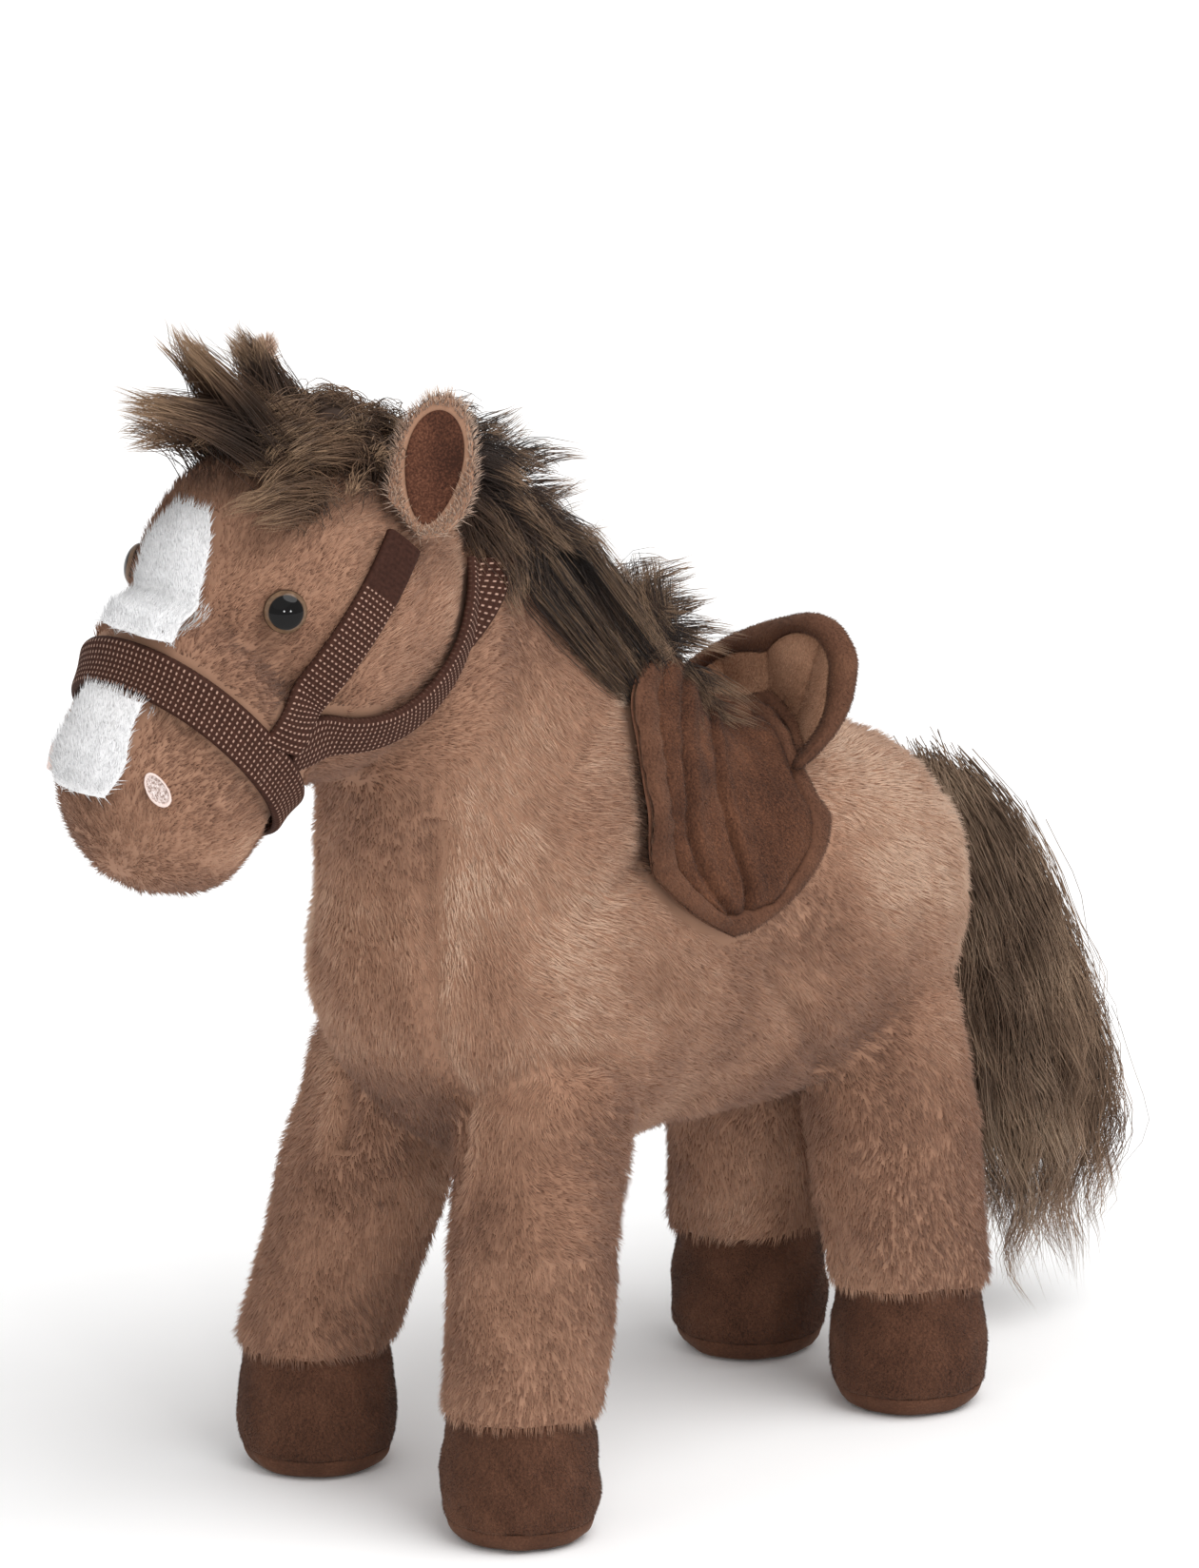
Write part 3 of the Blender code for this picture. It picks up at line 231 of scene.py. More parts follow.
def make_mesh(name, points, quads=None, triangles=None, uvs=None):
    """A mesh from arrays. uvs has one row for each corner, quads first."""
    mesh = bpy.data.meshes.new(name)
    points = np.asarray(points, np.float32).reshape(-1, 3)
    quads = np.zeros((0, 4), np.int32) if quads is None else np.asarray(quads, np.int32)
    triangles = np.zeros((0, 3), np.int32) if triangles is None else np.asarray(triangles, np.int32)
    corners = np.concatenate([quads.ravel(), triangles.ravel()])
    totals = np.concatenate([np.full(len(quads), 4), np.full(len(triangles), 3)]).astype(np.int32)
    starts = np.concatenate([[0], np.cumsum(totals)[:-1]]).astype(np.int32)
    mesh.vertices.add(len(points))
    mesh.vertices.foreach_set("co", points.ravel())
    mesh.loops.add(len(corners))
    mesh.loops.foreach_set("vertex_index", corners)
    mesh.polygons.add(len(totals))
    mesh.polygons.foreach_set("loop_start", starts)
    mesh.polygons.foreach_set("loop_total", totals)
    mesh.polygons.foreach_set("use_smooth", np.ones(len(totals), bool))
    if uvs is not None:
        mesh.uv_layers.new(name="OFBake").data.foreach_set("uv", np.asarray(uvs, np.float32).ravel())
    mesh.update(calc_edges=True)
    mesh.validate()
    return mesh


def put(name, mesh, material=None):
    thing = bpy.data.objects.new(name, mesh)
    bpy.context.scene.collection.objects.link(thing)
    if material:
        mesh.materials.append(material)
    return thing


def dress(piece, nodes=(), body=None):
    """Hide the nodes a piece stands for, and attach it to what it rides on."""
    if nodes:
        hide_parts(*nodes)
    if body:
        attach(piece, body)
    return piece


def capped(name, rings, material, trim, middles=(0, 1), turned=(False, False)):
    """A closed piece from rings of points, with a fan over each end that has a middle.

    trim picks out its borders, middles has the trim of the fans' middles, and turned says whether the
    walls and the fans face the other way.
    """
    rows, columns = rings.shape[:2]
    column = np.arange(columns)
    after, last = (column + 1) % columns, (rows - 1) * columns
    fans = ((rings[:1], column, after), (rings[-1:], last + after, last + column))
    points, triangles = [rings.reshape(-1, 3)], []
    for number, (ring, one, two) in enumerate(fans[:len(middles)]):
        points.append(ring.mean(1))
        triangles.append(np.stack([np.full(columns, rows * columns + number), one, two], -1))
    quads, triangles = grid_faces(rows, columns), np.concatenate(triangles)
    quads, triangles = (faces[:, ::-1] if back else faces for faces, back in zip((quads, triangles), turned))
    mesh = make_mesh(name, np.concatenate(points), quads, triangles)
    trim = np.broadcast_to(trim, (rows, columns)).ravel()
    add_attribute(mesh, "trim", np.concatenate([trim, middles]))
    return put(name, mesh, material)


def remeshed(thing, voxel, smooths):
    """A closed shape as one fine, smooth mesh; the object itself is removed."""
    remesh = thing.modifiers.new("remesh", "REMESH")
    remesh.mode, remesh.voxel_size = "VOXEL", voxel
    smooth = thing.modifiers.new("smooth", "SMOOTH")
    smooth.factor, smooth.iterations = 0.5, smooths
    graph = bpy.context.evaluated_depsgraph_get()
    mesh = bpy.data.meshes.new_from_object(thing.evaluated_get(graph))
    mesh.name = thing.name
    bpy.data.objects.remove(thing, do_unlink=True)
    mesh.polygons.foreach_set("use_smooth", np.ones(len(mesh.polygons), bool))
    return mesh


def refined(name, node, voxel, smooths):
    """A CAD node's form as a finer and softer mesh."""
    copy = put(name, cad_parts[node].data.copy())
    copy.data.materials.clear()
    return remeshed(copy, voxel, smooths)


def arrays(mesh):
    """Points, vertex normals and triangles of a mesh, as arrays."""
    mesh.calc_loop_triangles()
    points, normals = np.empty((2, len(mesh.vertices) * 3), np.float32)
    mesh.vertices.foreach_get("co", points)
    mesh.vertices.foreach_get("normal", normals)
    triangles = np.empty(len(mesh.loop_triangles) * 3, np.int32)
    mesh.loop_triangles.foreach_get("vertices", triangles)
    return points.reshape(-1, 3).astype(float), normals.reshape(-1, 3).astype(float), triangles.reshape(-1, 3)


def joined(shapes):
    """Points and faces of some shapes as one."""
    points, faces, offset = [], [], 0
    for shape_points, shape_faces in shapes:
        points.append(shape_points)
        faces.append(shape_faces + offset)
        offset += len(shape_points)
    return np.concatenate(points), np.concatenate(faces)


def tree_of(points, faces):
    return BVHTree.FromPolygons(np.asarray(points).reshape(-1, 3).tolist(), np.asarray(faces).tolist())


def tree_of_pieces(*pieces):
    return tree_of(*joined([arrays(piece.data)[::2] for piece in pieces]))


def nearest(places, seeds):
    """The number of the seed nearest to each place."""
    tree = KDTree(len(seeds))
    for index, seed in enumerate(seeds.tolist()):
        tree.insert(seed, index)
    tree.balance()
    return np.fromiter((tree.find(place)[1] for place in places.tolist()), int, len(places))


def land(aim, outward, surfaces):
    """The outermost point of the surfaces under a point, seen from outside, and its normal."""
    outward = Vector(outward).normalized()
    best = None
    for surface in surfaces:
        place, normal, _, distance = surface.ray_cast(Vector(aim) + outward * 0.2, -outward)
        if place and (best is None or distance < best[2]):
            best = (place, normal, distance)
    if best is None:
        return Vector(aim), outward
    return best[0], best[1] if best[1].dot(outward) > 0 else -best[1]


def scatter(points, normals, triangles, density, random):
    """Places and normals spread evenly over a surface, at a density per square centimetre."""
    first, second, third = (points[triangles[:, corner]] for corner in range(3))
    areas = np.linalg.norm(np.cross(second - first, third - first), axis=1) / 2
    count = int(areas.sum() * 1e4 * density)
    steps = (np.arange(count) + random.random(count)) * areas.sum() / count
    picked = np.minimum(np.searchsorted(np.cumsum(areas), steps), len(triangles) - 1)
    one, two = random.random(count), random.random(count)
    flip = one + two > 1
    one[flip], two[flip] = 1 - one[flip], 1 - two[flip]
    weights = np.stack([1 - one - two, one, two], -1)[..., None]
    place = (points[triangles[picked]] * weights).sum(1)
    return place, unit((normals[triangles[picked]] * weights).sum(1))


def reach_of(tree, places, furthest):
    """How far each place is from a surface, up to a furthest distance."""
    found = np.full(len(places), furthest)
    for index, place in enumerate(places.tolist()):
        hit = tree.find_nearest(place, furthest)
        if hit[0] is not None:
            found[index] = hit[3]
    return found


def along_surface(flow, outward):
    """A direction laid flat on the surface that faces outward."""
    return unit(flow - outward * (flow * outward).sum(1, keepdims=True))


# Materials


class Paint:
    """A material, and the nodes that colour it."""

    def __init__(self, name, **inputs):
        self.material = bpy.data.materials.new(name)
        self.material.use_nodes = True
        self.nodes, self.links = self.material.node_tree.nodes, self.material.node_tree.links
        self.main = self.nodes["Principled BSDF"].inputs
        for key, value in inputs.items():
            self.main[key.replace("_", " ")].default_value = value

    def feed(self, socket, value):
        if hasattr(value, "is_output"):
            self.links.new(value, socket)
        else:
            socket.default_value = value

    def made(self, kind, *values, **settings):
        """A new node with its settings, and values or outputs for its first inputs."""
        node = self.nodes.new("ShaderNode" + kind)
        for key, value in settings.items():
            setattr(node, key, value)
        for socket, value in zip(node.inputs, values):
            self.feed(socket, value)
        return node

    def attribute(self, name):
        return self.made("Attribute", attribute_name=name).outputs["Fac"]

    def math(self, operation, *values):
        return self.made("Math", *values, operation=operation).outputs[0]

    def noise(self, scale, detail=3.0):
        """Noise that is fixed to the piece."""
        node = self.made("TexNoise", self.made("TexCoord").outputs["Object"])
        node.inputs["Scale"].default_value, node.inputs["Detail"].default_value = scale, detail
        return node.outputs["Fac"]

    def ramp(self, value, stops):
        node = self.made("ValToRGB", value)
        elements = node.color_ramp.elements
        while len(elements) < len(stops):
            elements.new(0.5)
        for element, (place, colour) in zip(elements, stops):
            element.position, element.color = place, colour
        return node.outputs["Color"]

    def mix(self, factor, first, second, blend="MIX"):
        node = self.made("Mix", data_type="RGBA", blend_type=blend)
        for number, value in ((0, factor), (6, first), (7, second)):
            self.feed(node.inputs[number], value)
        return node.outputs[2]

    def coloured(self, colour):
        self.links.new(colour, self.main["Base Color"])
        return self.material


def backing(name, dark, middle, light, sheen=0.25):
    """The knitted ground under a pile, which varies from patch to patch."""
    paint = Paint(name, Roughness=0.8, Sheen_Weight=sheen, Sheen_Roughness=0.6, Specular_IOR_Level=0.25)
    dark, middle, light = srgb(*dark), srgb(*middle), srgb(*light)
    patches = paint.ramp(paint.noise(22, 4), ((0.32, dark), (0.5, middle), (0.68, light)))
    island = paint.made("NewGeometry").outputs["Random Per Island"]
    single = paint.ramp(island, ((0.0, dark), (0.5, middle), (1.0, light)))
    return paint.coloured(paint.mix(0.5, patches, single))


def strands(name, stops, low=0.55, patch_scale=24, sheen=0.2, roughness=0.75, tips=None, tips_from=0):
    """Hair by its attributes: painted shade darkens it toward the root and painted light lifts the tip, each
    strand with a tone of its own.
    """
    paint = Paint(name, Roughness=roughness, Sheen_Weight=sheen, Sheen_Roughness=0.5, Specular_IOR_Level=0.22)
    tip = paint.attribute("tip")
    patches = paint.math("MULTIPLY_ADD", paint.noise(patch_scale), 1.6, -0.50)
    # on the plush coat the tone attribute also carries painted light and shade
    tone = paint.math("MULTIPLY_ADD", paint.attribute("tone"), 0.40, patches)
    # painted shade and light in the depth of the pile: darker toward the root, down to low, and lighter at
    # the tip
    along = paint.ramp(tip, greys((0.0, low), (0.6, 0.95), (1.0, 1.1)))
    shade = paint.mix(1.0, paint.ramp(tone, stops), along, "MULTIPLY")
    if tips:
        shade = paint.mix(paint.ramp(tip, greys((tips_from, 0), (1.0, 1))), shade, tips)
    return paint.coloured(shade)


def velour(name, stops, trims):
    """Short-piled velour whose nap catches light; an attribute named trim picks out its borders."""
    paint = Paint(name, Roughness=0.86, Sheen_Weight=0.10, Sheen_Roughness=0.35, Specular_IOR_Level=0.2,
                  Sheen_Tint=srgb(235, 200, 170))
    pile = paint.noise(1700, 2)
    both = paint.math("MULTIPLY", paint.math("ADD", pile, paint.noise(60, 4)), 0.5)
    bump = paint.made("Bump")
    for key, value in (("Strength", 0.6), ("Distance", 0.00012), ("Height", pile)):
        paint.feed(bump.inputs[key], value)
    paint.feed(paint.main["Normal"], bump.outputs["Normal"])
    cloth, border = paint.ramp(both, stops), paint.ramp(both, trims)
    return paint.coloured(paint.mix(paint.attribute("trim"), cloth, border))


RIB, DASH = 1.65, 1.42


def woven(name):
    """Brown tape with rows of pale dashes, in millimetres along and across, and a plain end."""
    paint = Paint(name, Roughness=0.75, Specular_IOR_Level=0.12)
    weave = paint.made("UVMap", uv_map="weave").outputs["UV"]
    axes = paint.made("SeparateXYZ", weave).outputs
    masks = []
    for axis, period, reach in ((0, RIB, 0.30), (1, DASH, 0.44)):
        value = axes[axis]
        for operation, number in (("DIVIDE", period), ("FRACT", 0), ("SUBTRACT", 0.5), ("ABSOLUTE", 0)):
            value = paint.math(operation, value, number)
        span = paint.made(
            "MapRange", value, reach / period, reach * 0.45 / period, interpolation_type="SMOOTHSTEP")
        masks.append(span.outputs[0])
    threads = paint.mix(paint.math("MULTIPLY", *masks), srgb(66, 40, 31), srgb(182, 148, 132))
    threads = paint.mix(paint.attribute("plain"), threads, srgb(62, 37, 29))
    worn = paint.ramp(paint.noise(900), ((0.35, (0.45, 0.42, 0.4, 1)), (0.65, (1, 1, 1, 1))))
    return paint.coloured(paint.mix(0.6, threads, worn, "MULTIPLY"))


def speckled(name, scale, stops, **inputs):
    """A plain material with a fine variation of tone."""
    paint = Paint(name, **inputs)
    return paint.coloured(paint.ramp(paint.noise(scale, 2), stops))


plush_cloth = backing("plush_backing", (140, 104, 83), (156, 118, 95), (170, 132, 108), 0.05)
plush_pile = strands("plush_pile", tones(
    (0.0, 142, 103, 82), (0.2, 164, 122, 98), (0.5, 192, 148, 121), (0.82, 216, 176, 149),
    (1.0, 238, 204, 178),
), 0.78, sheen=0.06)
white_cloth = backing("white_backing", (226, 225, 225), (232, 231, 231), (238, 237, 238))
white_pile = strands(
    "white_pile", tones((0.2, 240, 239, 239), (0.5, 246, 246, 247), (0.8, 251, 251, 252)), 0.93)
ear_pile = strands("ear_pile", tones((0.2, 170, 136, 114), (0.5, 202, 170, 147), (0.8, 228, 202, 180)))
webbing = woven("webbing")
trim_stops = tones((0.30, 76, 48, 34), (0.5, 94, 62, 46), (0.70, 114, 78, 58))
saddle_velour = velour(
    "saddle_velour", tones((0.34, 62, 36, 24), (0.5, 88, 55, 38), (0.66, 116, 76, 54)), trim_stops)
cantle_velour = velour(
    "cantle_velour", tones((0.34, 122, 84, 61), (0.5, 160, 118, 92), (0.66, 190, 146, 118)), trim_stops)
hoof_velour = velour("hoof_velour", tones((0.3, 64, 40, 28), (0.5, 84, 54, 39), (0.7, 106, 72, 54)),
                     tones((0.0, 60, 38, 28), (1.0, 70, 46, 34)))
lining_velour = velour("lining_velour", tones((0.38, 52, 28, 18), (0.5, 80, 47, 33), (0.62, 108, 69, 51)),
                       tones((0.0, 70, 46, 34), (1.0, 80, 52, 40)))
saddle_nap, trim_nap, cantle_nap, hoof_nap = (
    strands(name, tones(*rows), 0.7, 60, 0.04) for name, rows in (
        ("saddle_nap", ((0.15, 66, 39, 26), (0.5, 98, 62, 44), (0.85, 132, 88, 64))),
        ("trim_nap", ((0.15, 82, 52, 37), (0.5, 108, 72, 53), (0.85, 138, 98, 74))),
        ("cantle_nap", ((0.15, 146, 102, 76), (0.5, 188, 142, 112), (0.85, 222, 176, 144))),
        ("hoof_nap", ((0.15, 62, 38, 27), (0.5, 90, 58, 42), (0.85, 122, 84, 63))),
    ))
mane_pile, tail_pile, forelock_pile = (
    strands(name, tones(*rows), low, 40, 0.05, 0.6, srgb(*tips), tips_from)
    for name, low, tips_from, tips, rows in (
        ("long_hair", 0.66, 0.76, (184, 148, 116),
         ((0.15, 34, 22, 16), (0.5, 58, 41, 31), (0.85, 92, 69, 53))),
        ("tail_hair", 0.62, 0.96, (150, 122, 98),
         ((0.15, 98, 76, 60), (0.5, 146, 120, 99), (0.85, 184, 157, 132))),
        ("forelock_hair", 0.74, 0.72, (190, 156, 124),
         ((0.15, 56, 40, 29), (0.5, 90, 67, 51), (0.85, 134, 104, 80))),
    ))
# a dark colour as painted shade inside the bunches of long hair
hair_core_shade = backing("hair_core_painted_shade", (40, 28, 22), (52, 38, 30), (64, 48, 39), 0)
washer_plastic = speckled(
    "washer_plastic", 120, tones((0.3, 205, 204, 200), (0.7, 222, 221, 217)), Roughness=0.5)
floor_paint = speckled(
    "floor_paint", 40, greys((0.0, 0.96), (1.0, 0.98)), Roughness=0.9, Specular_IOR_Level=0.1)


def gloss():
    """The black dome of a safety eye, with a brown ring near its rim."""
    paint = Paint("eye_gloss", Roughness=0.04, Specular_IOR_Level=0.24)
    ring = paint.ramp(paint.attribute("trim"), tones(
        (0.0, 5, 4, 5), (0.77, 7, 5, 5), (0.82, 118, 92, 72), (0.95, 128, 102, 80), (0.985, 50, 34, 26),
        (1.0, 24, 16, 12)))
    flecks = paint.ramp(paint.noise(700), greys((0.3, 0.6), (0.7, 1)))
    return paint.coloured(paint.mix(1.0, ring, flecks, "MULTIPLY"))


def embroidery():
    paint = Paint("nostril_thread", Roughness=0.4, Sheen_Weight=0.2)
    stops = tones((0.36, 150, 128, 118), (0.5, 202, 184, 178), (0.64, 232, 220, 216))
    tint = paint.ramp(paint.noise(1500, 2), stops)
    return paint.coloured(paint.mix(paint.attribute("trim"), tint, srgb(236, 214, 206)))


eye_gloss, thread = gloss(), embroidery()


# Strands


def cells(count, corner_uvs):
    """UVs that give each strand a cell of its own. corner_uvs is (corners, 2) in the unit square."""
    side = int(np.ceil(np.sqrt(count)))
    index = np.arange(count)
    origin = np.stack([index % side, index // side], -1) / side
    inside = 0.08 + 0.84 * np.asarray(corner_uvs)
    return (origin[:, None, :] + inside[None] / side).reshape(-1, 2)


def hairs(name, lines, radii, own_tones, material, tilt=0.01):
    """Closed three-sided hairs. lines is (hairs, points, 3), radii (points) or (hairs, points)."""
    count, steps = lines.shape[:2]
    radii = np.broadcast_to(radii, (count, steps))
    along = unit(np.gradient(lines, axis=1))
    reference = unit(np.cross(along[:, :1], UP + tilt))
    across = unit(reference - along * (reference * along).sum(-1, keepdims=True))
    over = np.cross(along, across)
    rings = [lines + (across * cos(turn * pi) + over * sin(turn * pi)) * radii[..., None]
             for turn in (0.5, 0.5 + 2 / 3, 0.5 + 4 / 3)]
    rings = np.stack(rings, 2)[:, :-1]
    points = np.concatenate([rings.reshape(count, -1, 3), lines[:, -1:]], 1)
    each = points.shape[1]
    faces, uvs = [(0, 2, 1)], [(0.0, 0.0), (0.6, 0.0), (0.3, 0.0)]
    for step in range(steps - 2):
        low, high = step / (steps - 1), (step + 1) / (steps - 1)
        for side in range(3):
            a, b = 3 * step + side, 3 * step + (side + 1) % 3
            left, right = side / 3, (side + 1) / 3
            faces += [(a, b, b + 3), (a, b + 3, a + 3)]
            uvs += [(left, low), (right, low), (right, high), (left, low), (right, high), (left, high)]
    low, base = (steps - 2) / (steps - 1), 3 * (steps - 2)
    for side in range(3):
        faces.append((base + side, base + (side + 1) % 3, each - 1))
        uvs += [(side / 3, low), ((side + 1) / 3, low), ((side + 0.5) / 3, 1)]
    faces = (np.array(faces)[None] + (np.arange(count) * each)[:, None, None]).reshape(-1, 3)
    mesh = make_mesh(name, points, None, faces, cells(count, uvs))
    places = np.concatenate([np.repeat(np.arange(steps - 1), 3), [steps - 1]]) / (steps - 1)
    add_attribute(mesh, "tip", np.broadcast_to(places, (count, each)))
    add_attribute(mesh, "tone", np.repeat(own_tones, each))
    return put(name, mesh, material)


def spikes(name, roots, directions, lengths, widths, own_tones, material):
    """Short pile: a small triangle at each root and one tip."""
    lines = np.stack([roots, roots + directions * lengths[:, None]], 1)
    return hairs(name, lines, widths[:, None], own_tones, material, 0.013)


# The skin

TREE_COUNTS = (60, 96)
FACE = [tree_of(*form.surface(*TREE_COUNTS)) for form in (head, muzzle)]
NECK_TREE, TORSO_TREE = (tree_of(*form.surface(*TREE_COUNTS)) for form in (neck, torso))
SINK = -0.0030
SKIN_VOXEL, SKIN_SMOOTHS = 0.0016, 7


def leg_surface(hip, foot, hip_radius, side, grow, turns=48):
    """Rings of a leg from the crown of its hip to under its cuff, as points and faces."""
    hip, foot = np.array(hip) * (side, 1, 1), np.array((side * foot[0], foot[1], CUFF_HEIGHT))
    rings = []
    for angle in np.linspace(pi / 2, 0, 10):
        rings.append((hip + UP * sin(angle) * (hip_radius + grow), (hip_radius + grow) * cos(angle)))
    radii = ((0, hip_radius), (0.45, LEG_MIDDLE_RADIUS), (1, LEG_CUFF_RADIUS))
    for place in np.linspace(0, 1, 24)[1:]:
        rings.append((hip + (foot - hip) * place, spread(radii, place)[0][0] + grow))
    rings.append((foot, 0))
    level = circle(turns)
    grid = np.stack([centre + level * max(radius, 1e-5) for centre, radius in rings])
    grid[..., 0] = side * np.maximum(side * grid[..., 0], LEG_GAP)
    return grid.reshape(-1, 3), grid_faces(len(grid), turns)


def eased(mesh, points, strength, turns):
    """Smooth the points of a mesh, each by a strength of its own from 0 to 1."""
    edges = np.empty(len(mesh.edges) * 2, np.int32)
    mesh.edges.foreach_get("vertices", edges)
    first, second = np.concatenate([edges.reshape(-1, 2), edges.reshape(-1, 2)[:, ::-1]]).T
    degree = np.bincount(first, minlength=len(points))[:, None]
    for _ in range(turns):
        totals = [np.bincount(first, points[second, axis], len(points)) for axis in range(3)]
        points = points + (np.stack(totals, -1) / degree - points) * strength[:, None]
    return points


def sewn(points, normals):
    """How far the stuffed skin stands out at each point: soft unevenness, seams drawn in, a fuller chest."""
    x, y, z = points.T
    ahead, raised = (points - HEAD_CENTRE) @ unit(MUZZLE_FORWARD), (points - HEAD_CENTRE) @ MUZZLE_UP
    fuller = falling(y, -0.058, 0.02) * falling(np.abs(x), 0.045, 0.02)
    out = ripple(points, 0.050, 3) * 0.0009 + ripple(points, 0.022, 4) * 0.00035
    out += 0.0038 * fuller * bell(z - 0.145, 0.022)
    chest = (y < -0.060) & (normals[:, 1] < -0.2) & (z > 0.096) & (z < 0.205)
    belly = (normals[:, 2] < -0.4) & (z < 0.12) & (z >= LEG_PART - 0.004) & (y > -0.06)
    groin = (np.abs(x) > 0.03) & (y > 0.02) & (y < 0.075) & (z > 0.10) & (z < 0.17)
    lips = (ahead > 0.062) & (raised < 0.004)
    chin = (ahead > 0.080) & (raised < -0.016)
    for found, across, width, depth in (
        (chest, np.abs(x) - GUSSET_HALF, 0.0030, 0.0026), (belly, x, 0.0022, 0.0010),
        (groin, (z - 0.110) - (0.050 - y) * 1.1, 0.0050, 0.0026),
        (lips, raised + 0.017 + 12 * x**2, 0.0020, 0.0019), (chin, x, 0.0020, 0.0012),
    ):
        out -= np.where(found, depth * bell(across, width), 0)
    return out


shapes = [form.surface(*counts, SINK) for form, counts in (
    (torso, (90, 130)), (neck, (80, 120)), (head, (80, 120)), (muzzle, (70, 110)))]
shapes += [leg_surface(*leg, side, SINK * 0.85) for side, _ in SIDES for leg in LEGS.values()]
skin = remeshed(put("skin", make_mesh("skin", *joined(shapes))), SKIN_VOXEL, SKIN_SMOOTHS)
skin_points, skin_normals, _ = arrays(skin)
throat_away = np.linalg.norm(skin_points - THROAT_MIDDLE, axis=1)
skin_points = eased(skin, skin_points, 0.8 * np.clip(1.6 - throat_away / THROAT_WIDTH, 0, 1), 80)
skin_points = skin_points + skin_normals * sewn(skin_points, skin_normals)[:, None]
skin.vertices.foreach_set("co", skin_points.astype(np.float32).ravel())
skin.update()
skin_points, _, skin_triangles = arrays(skin)
SKIN_TREE = tree_of(skin_points, skin_triangles)
centres = skin_points[skin_triangles].mean(1)
is_leg = centres[:, 2] < LEG_PART
is_head = ~is_leg & (centres @ NECK_NORMAL > NECK_PART) & (centres[:, 1] < 0.03)
regions = {"torso": ~is_leg & ~is_head, "head": is_head}
for end in LEGS:
    for side, side_name in SIDES:
        own_end = (centres[:, 1] < 0.02) == (end == "front")
        regions["leg_" + end + "_" + side_name] = is_leg & own_end & (centres[:, 0] * side > 0)


def follow(piece, region):
    """Ride on the body for the torso; for the head and the legs only the transform is applied."""
    if region == "torso":
        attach(piece, "body")
    elif region == "head":
        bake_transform(piece)
    else:
        _, end, side_name = region.split("_")
        x, y, _ = LEGS[end][0]
        x *= 1 if side_name == "left" else -1
        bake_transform(piece)
    return piece


def region_mesh(name, region):
    """One region of the skin as a mesh of its own."""
    triangles = skin_triangles[regions[region]]
    used = np.unique(triangles)
    index = np.zeros(len(skin_points), int)
    index[used] = np.arange(len(used))
    return make_mesh(name, skin_points[used], None, index[triangles])


covered = {"torso": ("torso", "neck_lower"), "head": ("head", "muzzle", "neck_upper")}
skins = {}
for region in regions:
    piece = put("plush_" + region, region_mesh("plush_" + region, region), plush_cloth)
    skins[region] = dress(follow(piece, region), covered.get(region, (region,)))
bpy.data.meshes.remove(skin)


# Webbing of the halter

STRAP_WIDTH = 0.0120
STRAP_HEIGHT, STRAP_SINK = 0.0015, 0.0008
STRAP_COUNTS = (420, 41)
NOSEBAND_PLACE = 0.41
NOSEBAND_COUNTS = (760, 27)
MUZZLE_LENGTH = MUZZLE_SPAN[1] - MUZZLE_SPAN[0]
STRAP_TOP = (0.0334, -0.0993, 0.2974)
THROAT_PLACES = ((0.89, -0.69, -0.575), (0.88, 0.0, -0.58), (0.83, 0.45, -0.36), (0.75, 0.76, -0.04),
                 (0.67, 0.93, 0.19))


def smooth_path(points, count):
    rows = [(step / (len(points) - 1), *point) for step, point in enumerate(points)]
    return spread(rows, np.linspace(0, 1, count)).T


def grid_normals(grid, outward, closed=False):
    along = np.roll(grid, -1, 0) - np.roll(grid, 1, 0) if closed else np.gradient(grid, axis=0)
    normals = unit(np.cross(along, np.gradient(grid, axis=1)))
    return normals * np.sign((normals * outward).sum(-1, keepdims=True))


def fine(grid, rows, columns):
    """A grid sampled on smooth curves, first down its rows and then across."""
    for count in (rows, columns):
        width = grid.shape[1]
        grid = smooth_path(grid.reshape(len(grid), -1), count).reshape(count, width, 3).transpose(1, 0, 2)
    return grid


def strap(name, node, grid, normals, closed=False, plain_from=2):
    """Woven tape from the grid of its underside: its selvages are thin, and its threads stand out."""
    steps, across = grid.shape[:2]
    share = np.linspace(-1, 1, across)
    lengths = np.linalg.norm(np.diff(grid[:, across // 2], axis=0), axis=1)
    along = np.concatenate([[0], np.cumsum(lengths)])
    body = STRAP_HEIGHT * (1 - 0.75 * np.abs(share) ** 10)
    ribs = np.abs(np.cos(along[:, None] / RIB * 1000 * pi)) ** 3
    dashes = np.abs(np.cos(share[None] * 6 / DASH * pi)) < 0.6
    threads = 0.00016 * ribs * dashes - 0.00030 * ribs * (1 - np.abs(share[None]) ** 8)
    top = grid + normals * (body[None] + threads)[..., None]
    ring = np.concatenate([grid - normals * STRAP_SINK, top[:, ::-1]], 1)
    turn = 2 * across
    if closed:
        last = (steps - 1) * turn
        column = np.arange(turn)
        after = (column + 1) % turn
        caps = [np.stack([last + column, column, after, last + after], -1)]
    else:
        side = np.arange(across - 1)
        caps = []
        for start, order in ((0, 1), ((steps - 1) * turn, -1)):
            corners = [start + side, start + side + 1, start + turn - 2 - side, start + turn - 1 - side]
            caps.append(np.stack(corners, -1)[:, ::order])
    mesh = make_mesh(name, ring, np.concatenate([grid_faces(steps, turn), *caps]))
    corners = np.empty(len(mesh.loops), np.int32)
    mesh.loops.foreach_get("vertex_index", corners)
    column = corners % turn
    column = np.where(column < across, column, turn - 1 - column)
    row = np.minimum(corners // turn, steps - 1)
    weave = np.stack([along[row], share[column] * STRAP_WIDTH / 2], -1) * 1000
    mesh.uv_layers.new(name="weave").data.foreach_set("uv", weave.astype(np.float32).ravel())
    add_attribute(mesh, "plain", np.repeat(rising(along / along[-1], plain_from, 0.01), turn))
    piece = dress(put(name, mesh, webbing), (node,))
    return piece


